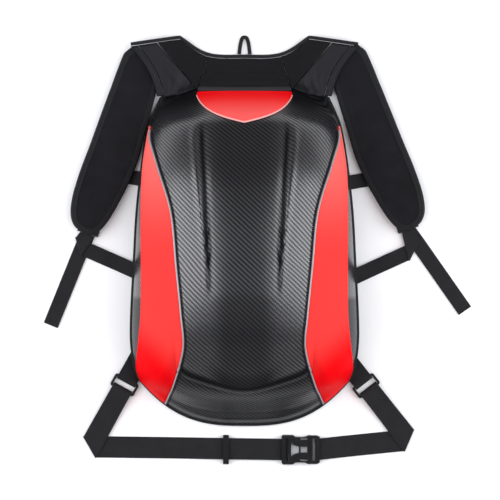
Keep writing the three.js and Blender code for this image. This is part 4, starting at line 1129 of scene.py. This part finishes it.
def add_neck_binding():
    inward = np.stack([NECK_TANGENT[:, 1], -NECK_TANGENT[:, 0]], -1)
    turns = np.linspace(0, 2 * math.pi, 17)[:-1]
    shape = lambda value: np.sign(value) * np.abs(value) ** 0.6
    reach = (NECK_BINDING_WIDTH - FIT) * (0.5 - 0.5 * shape(np.cos(turns)))
    lift = NECK_BINDING_THICKNESS * (0.5 + 0.5 * shape(np.sin(turns)))
    x, y = (NECK[:, k, None] + inward[:, k, None] * reach[None] for k in (0, 1))
    rings = xyz(x, y, drape_height(x, y) + lift[None])
    uv = cloth_places(np.linspace(0, 16, 17)[None], run_length(rings[:, :1], 0))
    add_tube("neck_binding_finish", rings, uv, "binding", ["neck_binding"])


# Shoulder straps

def strap_frame(side):
    """Where a strap starts, which way it runs, and which way its outer side faces."""
    x, y, splay = side["strap"]
    hand = side["hand"]
    along = away(hand, splay)[:2]
    return by_shares(hand, x, y)[:2], along, hand * np.array([-along[1], along[0]])


def strap_section(at):
    """Where a strap's section lies across, its half width, its middle height and thickness."""
    outer = read_strap("outer", at) * STRAP_HALF_WIDTH
    inner = read_strap("inner", at) * STRAP_HALF_WIDTH
    fade = mix(0.55, 1, np.sqrt(np.clip((1.002 - at) / 0.06, 0, 1)))
    early = mix(0.8, 1, smooth(at, 0, 0.08))
    thick = STRAP_THICKNESS * early * fade
    base = STRAP_FLOOR_GAP + read_strap("lift", at) * ADJUSTER_THICKNESS
    return (outer - inner) / 2, (outer + inner) / 2, base + thick / 2, thick


def squashed(value):
    return np.sign(value) * np.abs(value) ** STRAP_SQUASH


def strap_place(side, at, across, z):
    start, along, outward = strap_frame(side)
    plan = start + along * (at * STRAP_LENGTH)[..., None] + outward * across[..., None]
    return np.concatenate([plan, z[..., None]], -1)


def add_strap(side):
    """Padded body, flat on top with a rolled edge, and a faint slanting crease."""
    at = np.concatenate([np.linspace(-0.12, 0.9, 90), np.linspace(0.905, 0.994, 26)])[:, None]
    turns = np.linspace(0, 2 * math.pi, 73)[None, :-1]
    middle, reach, height, thick = strap_section(at)
    across = middle + (reach - STRAP_INSET) * squashed(np.cos(turns))
    z = height + (thick / 2 - STRAP_INSET * 0.6) * squashed(np.sin(turns))
    top_side = smooth(np.sin(turns), 0.2, 0.8)
    line = at - side["crease"] + across / STRAP_HALF_WIDTH * 0.1
    z = z + top_side * (0.9 * (1 - (across / STRAP_HALF_WIDTH) ** 2) - 0.7 * bump(line, 0, 0.008))
    rings = strap_place(side, np.broadcast_to(at, z.shape), across, z)
    name = f"shoulder_strap_{side['name']}"
    uv = cloth_places(girth_of(rings), at * STRAP_LENGTH)
    piece = add_tube(name + "_finish", rings, uv, "strap", [name])


def strap_outline():
    """The strap's edge in its own plane, from its outer side round the end to its inner side."""
    at = np.concatenate([np.linspace(-0.118, 0.88, 80), np.linspace(0.89, 1.0, 30)])
    middle, reach, _, _ = strap_section(at)
    outer = np.stack([at * STRAP_LENGTH, middle + reach], -1)
    inner = np.stack([at * STRAP_LENGTH, middle - reach], -1)
    tip = mix(outer[-1:], inner[-1:], np.linspace(0, 1, 7)[1:-1, None])
    line = np.concatenate([outer, tip, inner[::-1]])
    length = run_length(line[:, None], 0)[:, 0]
    even = np.linspace(0, length[-1], 260)
    line = np.stack([np.interp(even, length, line[:, k]) for k in range(2)], -1)
    for _ in range(3):
        line[1:-1] = (line[:-2] + 2 * line[1:-1] + line[2:]) / 4
    step = unit(np.gradient(line, axis=0))
    return line, np.stack([step[:, 1], -step[:, 0]], -1)


def tape_places(side, depth, lift, face=1):
    """Points on the strap's padding a share of the tape's width in from its edge."""
    line, inward = strap_outline()
    width = mix(TAPE_OUTER, TAPE_INNER, smooth(np.linspace(0, 1, len(line)), 0.42, 0.58))
    reach_in = depth * width
    spot = line + inward * reach_in[:, None]
    at = np.clip(spot[:, 0] / STRAP_LENGTH, -0.12, 0.998)
    middle, reach, height, thick = strap_section(at)
    share = np.clip(np.abs(spot[:, 1] - middle) / reach, 0, 1)
    cover = (1 - share ** (2 / STRAP_SQUASH)) ** (STRAP_SQUASH / 2)
    edge = edge_fall(reach_in / 60, 60, 3.2)
    z = height + face * (thick / 2 * np.minimum(cover, edge) * 0.96 + lift)
    return strap_place(side, spot[:, 0] / STRAP_LENGTH, spot[:, 1], z)


def add_strap_binding(side):
    """One tape round the strap's edge: wide on its outer side, narrower on its inner side."""
    depths = [1.0, 0.97, 0.88, 0.8, 0.72, 0.6, 0.54, 0.48, 0.36, 0.2, 0.1, 0.03, 0.0]
    swell = lambda d: 0.15 + 0.45 * smooth(1 - d, 0, 0.06) - 0.35 * bump(d, 0.54, 0.035)
    places = [(d, swell(d), 1) for d in depths] + [(d, 0.1, -1) for d in (0.03, 0.1, 0.3, 0.7)]
    places += [(0.7, -1.1, -1), (0.4, -1.1, -1), (0.4, -1.1, 1), (0.9, -1.1, 1)]
    rings = np.stack([tape_places(side, *place) for place in places], 1)
    name = side["name"]
    uv = cloth_places(girth_of(rings), run_length(rings[:, :1], 0))
    add_tube(f"strap_binding_{name}_finish", rings, uv, "binding",
             [f"strap_binding_outer_{name}", f"strap_binding_inner_{name}"])


# Webbing

def finer(path, across, step=5.0):
    """More points along a band, with soft bends where it comes down to the floor."""
    band = np.concatenate([np.asarray(path, float), np.asarray(across, float)], 1)
    made = [band[:1]]
    for start, end in zip(band, band[1:]):
        count = max(1, int(np.linalg.norm((end - start)[:3]) / step))
        made.append(mix(start, end, np.arange(1, count + 1)[:, None] / count))
    points, sides = np.split(np.concatenate(made), 2, axis=1)
    gaps = np.linalg.norm(np.diff(points, axis=0), axis=1)
    open_run = np.zeros(len(points), bool)
    open_run[1:-1] = (gaps[:-1] > 2) & (gaps[1:] > 2)
    for _ in range(4):
        soft = points.copy()
        soft[1:-1] = (points[:-2] + 2 * points[1:-1] + points[2:]) / 4
        points[open_run] = soft[open_run]
    return points, sides


def add_flat_band(node, path, across, half):
    """A band with rounded edges along a path, its cloth spread over a half width."""
    before = np.concatenate([path[:1], path[:-1]])
    after = np.concatenate([path[1:], path[-1:]])
    normal = unit(np.cross(after - before, across)) * WEB_THICKNESS / 2
    shares = [1, 0.985, 0.9, 0.6, 0.3, 0, -0.3, -0.6, -0.9, -0.985, -1]
    edge = lambda share: 1 - BAND_EDGE * (abs(share) == 1)
    rings = [path + face * (across * s + normal * edge(s)) for face in (1, -1) for s in shares]
    spread = half * np.concatenate([np.linspace(1, -1, 11), np.linspace(-1, 1, 11), [1]])
    uv = cloth_places(spread[None], run_length(path[:, None], 0))
    add_tube(node + "_finish", np.stack(rings, 1), uv, "web", [node])


def add_band(node, path, across):
    path, across = finer(path, across)
    add_flat_band(node, path, across, np.linalg.norm(across, axis=-1).max())


def left_of(direction, length):
    return unit(np.cross(UP, direction)) * length


RIM_SPOTS, RIM_OUT = rim_loop(12)


def inside_rim(place, margin):
    corners = RIM_SPOTS + RIM_OUT * margin
    after = np.roll(corners, -1, axis=0)
    crosses = (corners[:, 1] > place[1]) != (after[:, 1] > place[1])
    rise = np.where(crosses, after[:, 1] - corners[:, 1], 1)
    meets = corners[:, 0] + (place[1] - corners[:, 1]) / rise * (after[:, 0] - corners[:, 0])
    return (crosses & (place[0] < meets)).sum() % 2 == 1


def meet_rim(outside, outward, width):
    """Where a band drawn in towards the shell meets the edge binding."""
    across = left_of(outward, width / 2)
    place = outside.copy()
    stride = 0.1
    for _ in range(int(SHELL_HALF_WIDTH / stride)):
        if any(inside_rim(place + across * s, BINDING_WIDTH + 2 * FIT) for s in (-1, -0.5, 0, 0.5, 1)):
            break
        place = place - outward * stride
    return place + outward * stride


def at_rim(root, outward, width):
    """The root of a band cut to follow the rim: its middle, and its slanting half width."""
    side = left_of(outward, width / 2)
    corners = []
    for hand in (-1, 1):
        place = root + side * hand + outward * 3
        while not inside_rim(place, BINDING_WIDTH + FIT):
            place = place - outward * 0.2
        corners.append(place)
    return (corners[0] + corners[1]) / 2, (corners[1] - corners[0]) / 2


def fold_turn(centre, start, end, width, low, high):
    """The turn of a band folded flat on itself, and its sides there and after it."""
    axis = unit(start + end)
    sense = np.sign(axis @ np.cross(UP, start))
    across = axis * sense * width / 2 / abs(np.cross(axis, start)[2])
    out = unit(start - axis * (start @ axis))
    radius = (high - low) / 2
    angles = np.linspace(0, math.pi, 9)
    path = [
        with_height(centre + out * radius * math.sin(a), (low + high) / 2 - radius * math.cos(a))
        for a in angles
    ]
    after = np.cross(UP, end)
    return path, across, unit(after) * np.sign(across @ after) * width / 2


def add_upper_web(side):
    x, y, splay = side["upper_web"]
    along = away(side["hand"], 180 - splay)
    outside = by_shares(side["hand"], x, y) + along * UPPER_WEB_REACH
    start = meet_rim(outside, along, SIDE_WEB_WIDTH)
    width = SIDE_WEB_WIDTH * 0.95
    steps = [(0, WEB_ROOT_HEIGHT), (0.12, WEB_SAG), (0.3, FLOOR_WEB), (1, FLOOR_WEB)]
    path = [with_height(start + along * UPPER_WEB_REACH * s, z) for s, z in steps]
    across = [left_of(along, width / 2)] * len(path)
    path[0], across[0] = at_rim(path[0], along, width)
    add_band(f"upper_side_web_{side['name']}", path, across)


def strap_end(side):
    start, along, _ = strap_frame(side)
    return point(*(start + along * STRAP_LENGTH)), point(*along)


def edge_like(across, along):
    edge = left_of(along, np.linalg.norm(across))
    return -edge if edge @ across < 0 else edge


def add_side_web(side):
    """From the shell over the strap's tail, then folded flat and back up to the strap's end."""
    hand = side["hand"]
    end, along = strap_end(side)
    out, drop = side["side_fold"]
    fold = end + point(hand * out, -drop) * SIDE_WEB_WIDTH
    target = end + along * (FIT - ADJUSTER_SETBACK)
    start_dir = unit(fold - by_shares(hand, *side["side_web"]))
    start = meet_rim(fold, start_dir, SIDE_WEB_WIDTH)
    end_dir = unit(target - fold)
    turn, turn_across, after = fold_turn(fold, start_dir, end_dir, SIDE_WEB_WIDTH, SECOND_WEB, THIRD_WEB)
    leg = np.linalg.norm(fold - start)
    steps = [
        (0, WEB_ROOT_HEIGHT), (0.06, WEB_SAG), (0.2, FLOOR_WEB), (0.35, FLOOR_WEB), (0.5, SECOND_WEB),
        (0.85, SECOND_WEB),
    ]
    path = [with_height(start + start_dir * leg * s, z) for s, z in steps]
    across = [left_of(start_dir, SIDE_WEB_WIDTH / 2)] * len(path)
    path[0], across[0] = at_rim(path[0], start_dir, SIDE_WEB_WIDTH)
    path += turn + [with_height(target, THIRD_WEB)]
    across += [turn_across] * len(turn) + [edge_like(after, along)]
    add_band(f"lower_side_web_{side['name']}", path, across)


def tail_path(side):
    end, along = strap_end(side)
    start = end + along * (FIT - ADJUSTER_SETBACK)
    direction = away(side["hand"], side["tail_splay"])
    path = [with_height(start + direction * TAIL_LENGTH * s, FLOOR_WEB) for s in (0, 0.12, 1)]
    return path, direction, along


def add_tail(side):
    path, direction, along = tail_path(side)
    level = left_of(direction, SIDE_WEB_WIDTH / 2)
    add_band(f"strap_tail_{side['name']}", path, [edge_like(level, along), level, level])


def add_hang_loop():
    """A narrow loop of webbing, drawn to a rounded point."""
    foot_y = YOKE_SEAMS["centre"]["high"][1] * HALF_LENGTH + 2 * FIT
    half = LOOP_WEB_WIDTH / 2
    turn = np.linspace(-1, 1, 49)
    x = np.sign(turn) * (LOOP_HALF_GAP + half) * np.abs(turn) ** 0.8
    y = foot_y + (LOOP_LENGTH - half) * (1 - np.abs(turn) ** 2.6)
    path = xyz(x, y, FIT + LOOP_LIFT)
    across = unit(np.cross(UP, np.gradient(path, axis=0))) * half * 0.8
    add_flat_band("hang_loop", path, across, half)


WRAP_RADIUS = RING_BAR / 2 * math.sqrt(2) + FIT + WEB_THICKNESS / 2
RING_Z = FLOOR_WEB + WRAP_RADIUS
RING_BAR_REACH = (RING_WIDTH - RING_BAR) / 2
WRAP_TOP = RING_Z + WRAP_RADIUS


def ring_frame(side):
    """A belt ring's middle, seated off the shell's edge, and the way it leans outward."""
    x, y, splay, reach = side["ring"]
    outward = away(side["hand"], splay)
    seat = meet_rim(by_shares(side["hand"], x, y) + outward * RING_LENGTH, outward, RING_LENGTH)
    return seat + outward * (RING_WIDTH / 2 + TAB_REACH * reach), outward


def wrap_path(bar, towards, return_length):
    """The end of a band round a bar: in above it and back beneath it."""
    turn = [
        with_height(bar + towards * WRAP_RADIUS * math.cos(a), RING_Z + WRAP_RADIUS * math.sin(a))
        for a in np.radians(np.linspace(90, -90, 11))
    ]
    return turn + [with_height(bar - towards * return_length, RING_Z - WRAP_RADIUS)]


def add_belt_tab(side):
    centre, outward = ring_frame(side)
    bar = centre - outward * RING_BAR_REACH
    low = (BACK_THICKNESS - BINDING_HEIGHT) / 2
    root = with_height(meet_rim(bar, outward, BELT_WIDTH), low + BINDING_HEIGHT * 0.6)
    root, root_across = at_rim(root, outward, BELT_WIDTH - 2 * BELT_EASE)
    lean = math.radians(130)
    over = with_height(bar + outward * WRAP_RADIUS * math.cos(lean), RING_Z + WRAP_RADIUS * math.sin(lean))
    path = [root, over] + wrap_path(bar, outward, TAB_REACH)
    across = [root_across] + [left_of(outward, BELT_WIDTH / 2 - BELT_EASE)] * (len(path) - 1)
    add_band(f"belt_tab_{side['name']}", path, across)


def add_belt(side, inner_x):
    hand = side["hand"]
    centre, outward = ring_frame(side)
    bar = centre + outward * RING_BAR_REACH
    drop = bar[1] - BELT_Y - side["fold_rise"] * BELT_WIDTH
    corner = bar - outward * drop / outward[1]
    inner = point(inner_x, BELT_Y)
    start_dir = unit(corner - inner)
    middle = bar + outward * BELT_RUN
    end_dir = unit(middle - corner)
    turn, turn_across, after = fold_turn(corner, start_dir, end_dir, BELT_WIDTH, FLOOR_WEB, SECOND_WEB)
    left = left_of(start_dir, BELT_WIDTH / 2)
    ring_side = np.cross(UP, outward)
    ring_across = unit(ring_side) * np.sign(after @ ring_side) * (BELT_WIDTH / 2 - BELT_EASE)
    leg = np.linalg.norm(corner - inner)
    is_left = hand < 0
    raised = inner_x - SLIDER_X + SLIDER_WIDTH if is_left else leg * 0.12
    slider_middle = FIT + (2 * SLIDER_WALL + WEB_THICKNESS + 4 * FIT) / 2
    buckle_middle = FIT + BUCKLE_THICKNESS / 2
    steps = [
        (0, buckle_middle), (raised * 0.4, slider_middle if is_left else buckle_middle),
        (raised, slider_middle if is_left else mix(FLOOR_WEB, buckle_middle, 0.8)),
        (raised + leg * 0.2, FLOOR_WEB), (leg - BELT_WIDTH * 1.1, FLOOR_WEB),
    ]
    wrap = wrap_path(bar, -outward, BELT_RETURN)
    path = [with_height(inner + start_dir * reach, z) for reach, z in steps] + turn + [
        with_height(mix(corner, middle, 0.45), SECOND_WEB),
        with_height(middle, mix(SECOND_WEB, WRAP_TOP, 0.4)),
        with_height(bar + outward * BELT_FLAT_END, WRAP_TOP),
    ] + wrap
    across = [left] * 5 + [turn_across] * len(turn) + [after, mix(after, ring_across, 0.7)]
    across += [ring_across] * (1 + len(wrap))
    add_band(f"belt_web_{side['name']}", path, across)


# Stitches

class Stitches:
    """Short raised threads along seams, all of one colour in one piece."""

    def __init__(self):
        self.points = []
        self.faces = []

    def seam(self, line, normals, pitch=3.4, length=2.3, radius=0.34, lift=0.12):
        total = run_length(line[:, None], 0)[:, 0]
        count = max(1, int(total[-1] / pitch))
        read = lambda rows, at: np.array([np.interp(at, total, rows[:, k]) for k in range(3)])
        for place in (np.arange(count) + 0.5) * total[-1] / count:
            start, end = (read(line, place + s * length / 2) for s in (-1, 1))
            self.stitch(start, end, unit(read(normals, place)), radius, lift)

    def stitch(self, start, end, up, radius, lift):
        side = unit(np.cross(unit(end - start), up))
        first = len(self.points)
        for share, size, rise in STITCH_RINGS:
            centre = mix(start, end, share) + up * (lift + rise * radius)
            for k in range(THREAD_SIDES):
                angle = k * 2 * math.pi / THREAD_SIDES
                out = side * math.cos(angle) + up * math.sin(angle)
                self.points.append(centre + out * radius * size)
        for ring in range(len(STITCH_RINGS) - 1):
            for k in range(THREAD_SIDES):
                a = first + ring * THREAD_SIDES + k
                b = first + ring * THREAD_SIDES + (k + 1) % THREAD_SIDES
                self.faces.append([a, b, b + THREAD_SIDES, a + THREAD_SIDES])
        for ring in (0, len(STITCH_RINGS) - 1):
            self.faces.append([first + ring * THREAD_SIDES + k for k in range(THREAD_SIDES)])

    def build(self, name, paint):
        uvs = [np.zeros((len(face), 2)) for face in self.faces]
        add_mesh(name, np.array(self.points), self.faces, uvs, paint)


def on_drape(x, y, lift):
    line = drape_point(x, y, np.full(np.shape(x), float(lift)))
    base = drape_point(x, y, np.zeros(np.shape(x)))
    return line, unit(line - base)


def stitch_shell(thread, side, column, rows, inset, distance, **size):
    """A seam beside an edge of the side panel."""
    spot, _ = red_edge_line(side["hand"], column, np.linspace(*rows, 260), inset)
    place = place_on_shell(spot[:, 0], spot[:, 1])
    thread.seam(off_shell(*place, distance), shell_normal(*place), **size)


def yoke_line(low, top_x, bulge):
    """A seam of the yoke from a place at its foot up to its neck."""
    rise = np.linspace(0.03, 0.97, 70)
    x = mix(low[0], top_x, rise) - bulge * np.sin(math.pi * rise)
    return x, mix(low[1], float(cloth_top(np.array(top_x))), rise)


def stitch_yoke(thread):
    inward = np.stack([NECK_TANGENT[:, 1], -NECK_TANGENT[:, 0]], -1)
    x, y = (NECK + inward * (NECK_BINDING_WIDTH + 2.6)).T
    inner = np.abs(x) < seam_x("hem", 1) - 5
    thread.seam(*on_drape(x[inner], y[inner], YOKE_THICKNESS * 0.9), radius=0.2, lift=0.0)
    strip_y = seam_end("panel", "low")[1] + STRIP_WIDTH
    foot_x = seam_x("panel", 0)
    hem_x, hem_y = seam_end("hem", "low")
    seams = [
        ((foot_x + offset * 0.5, strip_y + 2), seam_x("panel", 1) + offset, YOKE_THICKNESS * 0.98, 0)
        for offset in (-2.6, 2.8)
    ]
    seams.append(((foot_x + 4.5, strip_y - 2), seam_x("satin", 1) + 2.4, SATIN_THICKNESS * 1.02, 0))
    seams += [
        ((hem_x - inset, hem_y + 2), seam_x("hem", 1) - inset, SATIN_THICKNESS * 1.12, HEM_BULGE)
        for inset in (2.0, 6.2)
    ]
    for hand in (-1, 1):
        for (low_x, low_y), top_x, lift, bulge in seams:
            x, y = yoke_line((hand * low_x, low_y), hand * top_x, hand * bulge)
            thread.seam(*on_drape(x, y, lift), radius=0.3)


def stitch_strap(side, thread):
    """Two rows along the binding, round the strap's end."""
    for depth, lift in ((0.88, 0.62), (0.5, 0.3)):
        seam = tape_places(side, depth, lift)[12:-12]
        thread.seam(seam, np.broadcast_to(UP, seam.shape), radius=0.28)


def stitch_tail(side, thread):
    """Two rows across the hem at the tail's free end."""
    path, direction, _ = tail_path(side)
    reach = left_of(direction, SIDE_WEB_WIDTH / 2 - 1.5)
    for back in (33, 36):
        centre = path[-1] - direction * back
        line = mix(centre - reach, centre + reach, np.linspace(0, 1, 12)[:, None])
        line[:, 2] = FLOOR_WEB + WEB_THICKNESS / 2 + 0.05
        thread.seam(line, np.broadcast_to(UP, line.shape), pitch=2.6, length=1.8, radius=0.28)


# Camera, floor and light

def add_camera():
    """The photograph's view: straight down, a little off the origin."""
    data = bpy.data.cameras.new("camera")
    data.sensor_width = 36
    data.lens = data.sensor_width * VIEW_HEIGHT / VIEW_WIDTH
    camera = bpy.data.objects.new("camera", data)
    camera.location = (VIEW_X, VIEW_Y, VIEW_HEIGHT)
    bpy.context.scene.collection.objects.link(camera)
    bpy.context.scene.camera = camera


def add_floor():
    size = 6.0
    mesh = bpy.data.meshes.new("floor")
    z = min(0.0, cad_low.z) - 0.0002
    corners = [(x * size, y * size, z) for x, y in ((-1, -1), (1, -1), (1, 1), (-1, 1))]
    mesh.from_pydata(corners, [], [(0, 1, 2, 3)])
    mesh.materials.append(floor_paint())
    floor = bpy.data.objects.new("floor", mesh)
    bpy.context.scene.collection.objects.link(floor)
    floor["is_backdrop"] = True


def add_box_light(name, place, size, power, color):
    """A soft box at a place, turned to face the shell."""
    data = bpy.data.lights.new(name, "AREA")
    data.shape = "RECTANGLE"
    data.size, data.size_y = size
    data.energy = power
    data.color = color
    light = bpy.data.objects.new(name, data)
    light.location = place
    light.rotation_mode = "QUATERNION"
    light.rotation_quaternion = (Vector((0, 0, 0.05)) - Vector(place)).to_track_quat("-Z", "Y")
    bpy.context.scene.collection.objects.link(light)


def add_studio():
    """White walls all round, a dim ceiling over the camera and a dimmer end beyond the head."""
    world = bpy.data.worlds.new("studio")
    world.use_nodes = True
    sky = NodeTree(world.node_tree)
    background = world.node_tree.nodes["Background"]
    background.inputs["Color"].default_value = (1, 1, 1, 1)
    towards = sky.node("ShaderNodeTexCoord").outputs["Generated"]
    split = sky.node("ShaderNodeSeparateXYZ", Vector=towards).outputs
    ceiling = sky.scaled(sky.rise(split["Z"], 0.55, 0.92), 0.6, 0.13)
    head_end = sky.scaled(sky.rise(split["Y"], 0.3, 0.9), 1.0, 0.6)
    sky.put(background.inputs["Strength"], sky.sum("MULTIPLY", ceiling, head_end))
    bpy.context.scene.world = world
    bpy.context.scene.view_settings.view_transform = "Standard"
    for name, hand in (("left_box", -1), ("right_box", 1)):
        add_box_light(name, (hand * 1.2, 0.1, 1.1), (1.15, 2.6), 32, (0.95, 0.96, 1.0))


# The dressed part

add_shell()
add_badge()
add_badge_piping()
add_edge_binding()
add_back_panel()
add_yoke_centre()
add_yoke_strip()
add_neck_binding()
add_hang_loop()
for side in SIDES:
    add_side_panel(side)
    add_side_piping(side)
    add_yoke_side(side)
    add_strap(side)
    add_strap_binding(side)
    add_upper_web(side)
    add_side_web(side)
    add_tail(side)
    add_belt_tab(side)
add_belt(SIDES[0], BUCKLE_X + SOCKET_LENGTH * 0.22)
add_belt(SIDES[1], BUCKLE_X + SOCKET_LENGTH + PLUG_LENGTH * 0.62)

red_seams = Stitches()
dark_seams = Stitches()
grey_seams = Stitches()
for side in SIDES:
    stitch_shell(red_seams, side, "red_out", (RED_TIP_ROW + 0.7, LAST_ROW - 0.15), 3.2,
                 SKIN_SEAT + SKIN_THICKNESS + 0.05, pitch=2.8, length=1.7, radius=0.42)
    stitch_shell(dark_seams, side, "red_in", (RED_TIP_ROW + 0.5, LAST_ROW - 0.1), PIPING_WIDTH * 1.55,
                 0.3, pitch=2.6, length=2.0, radius=0.45)
    stitch_strap(side, grey_seams)
    stitch_tail(side, grey_seams)
stitch_yoke(grey_seams)
red_seams.build("red_stitches", "red_thread")
dark_seams.build("piping_stitches", "black_thread")
grey_seams.build("cloth_stitches", "grey_thread")

# Fittings keep the frame's own shape, with softened edges
plastic = PAINTS["plastic"][1]
for name in ["buckle_socket", "buckle_plug", "belt_slider", "belt_ring_left", "belt_ring_right",
             "strap_adjuster_left", "strap_adjuster_right"]:
    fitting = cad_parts[name]
    fitting.data.materials.clear()
    fitting.data.materials.append(plastic)
    soften = fitting.modifiers.new("soften", "BEVEL")
    soften.width = FITTING_EDGE * MM
    soften.segments = 3
    soften.limit_method = "ANGLE"
    soften.angle_limit = math.radians(35)
    soften.harden_normals = True

add_floor()
add_studio()
add_camera()

low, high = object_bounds()
sizes = {"cad": [list(cad_low), list(cad_high)], "visual": [list(low), list(high)]}
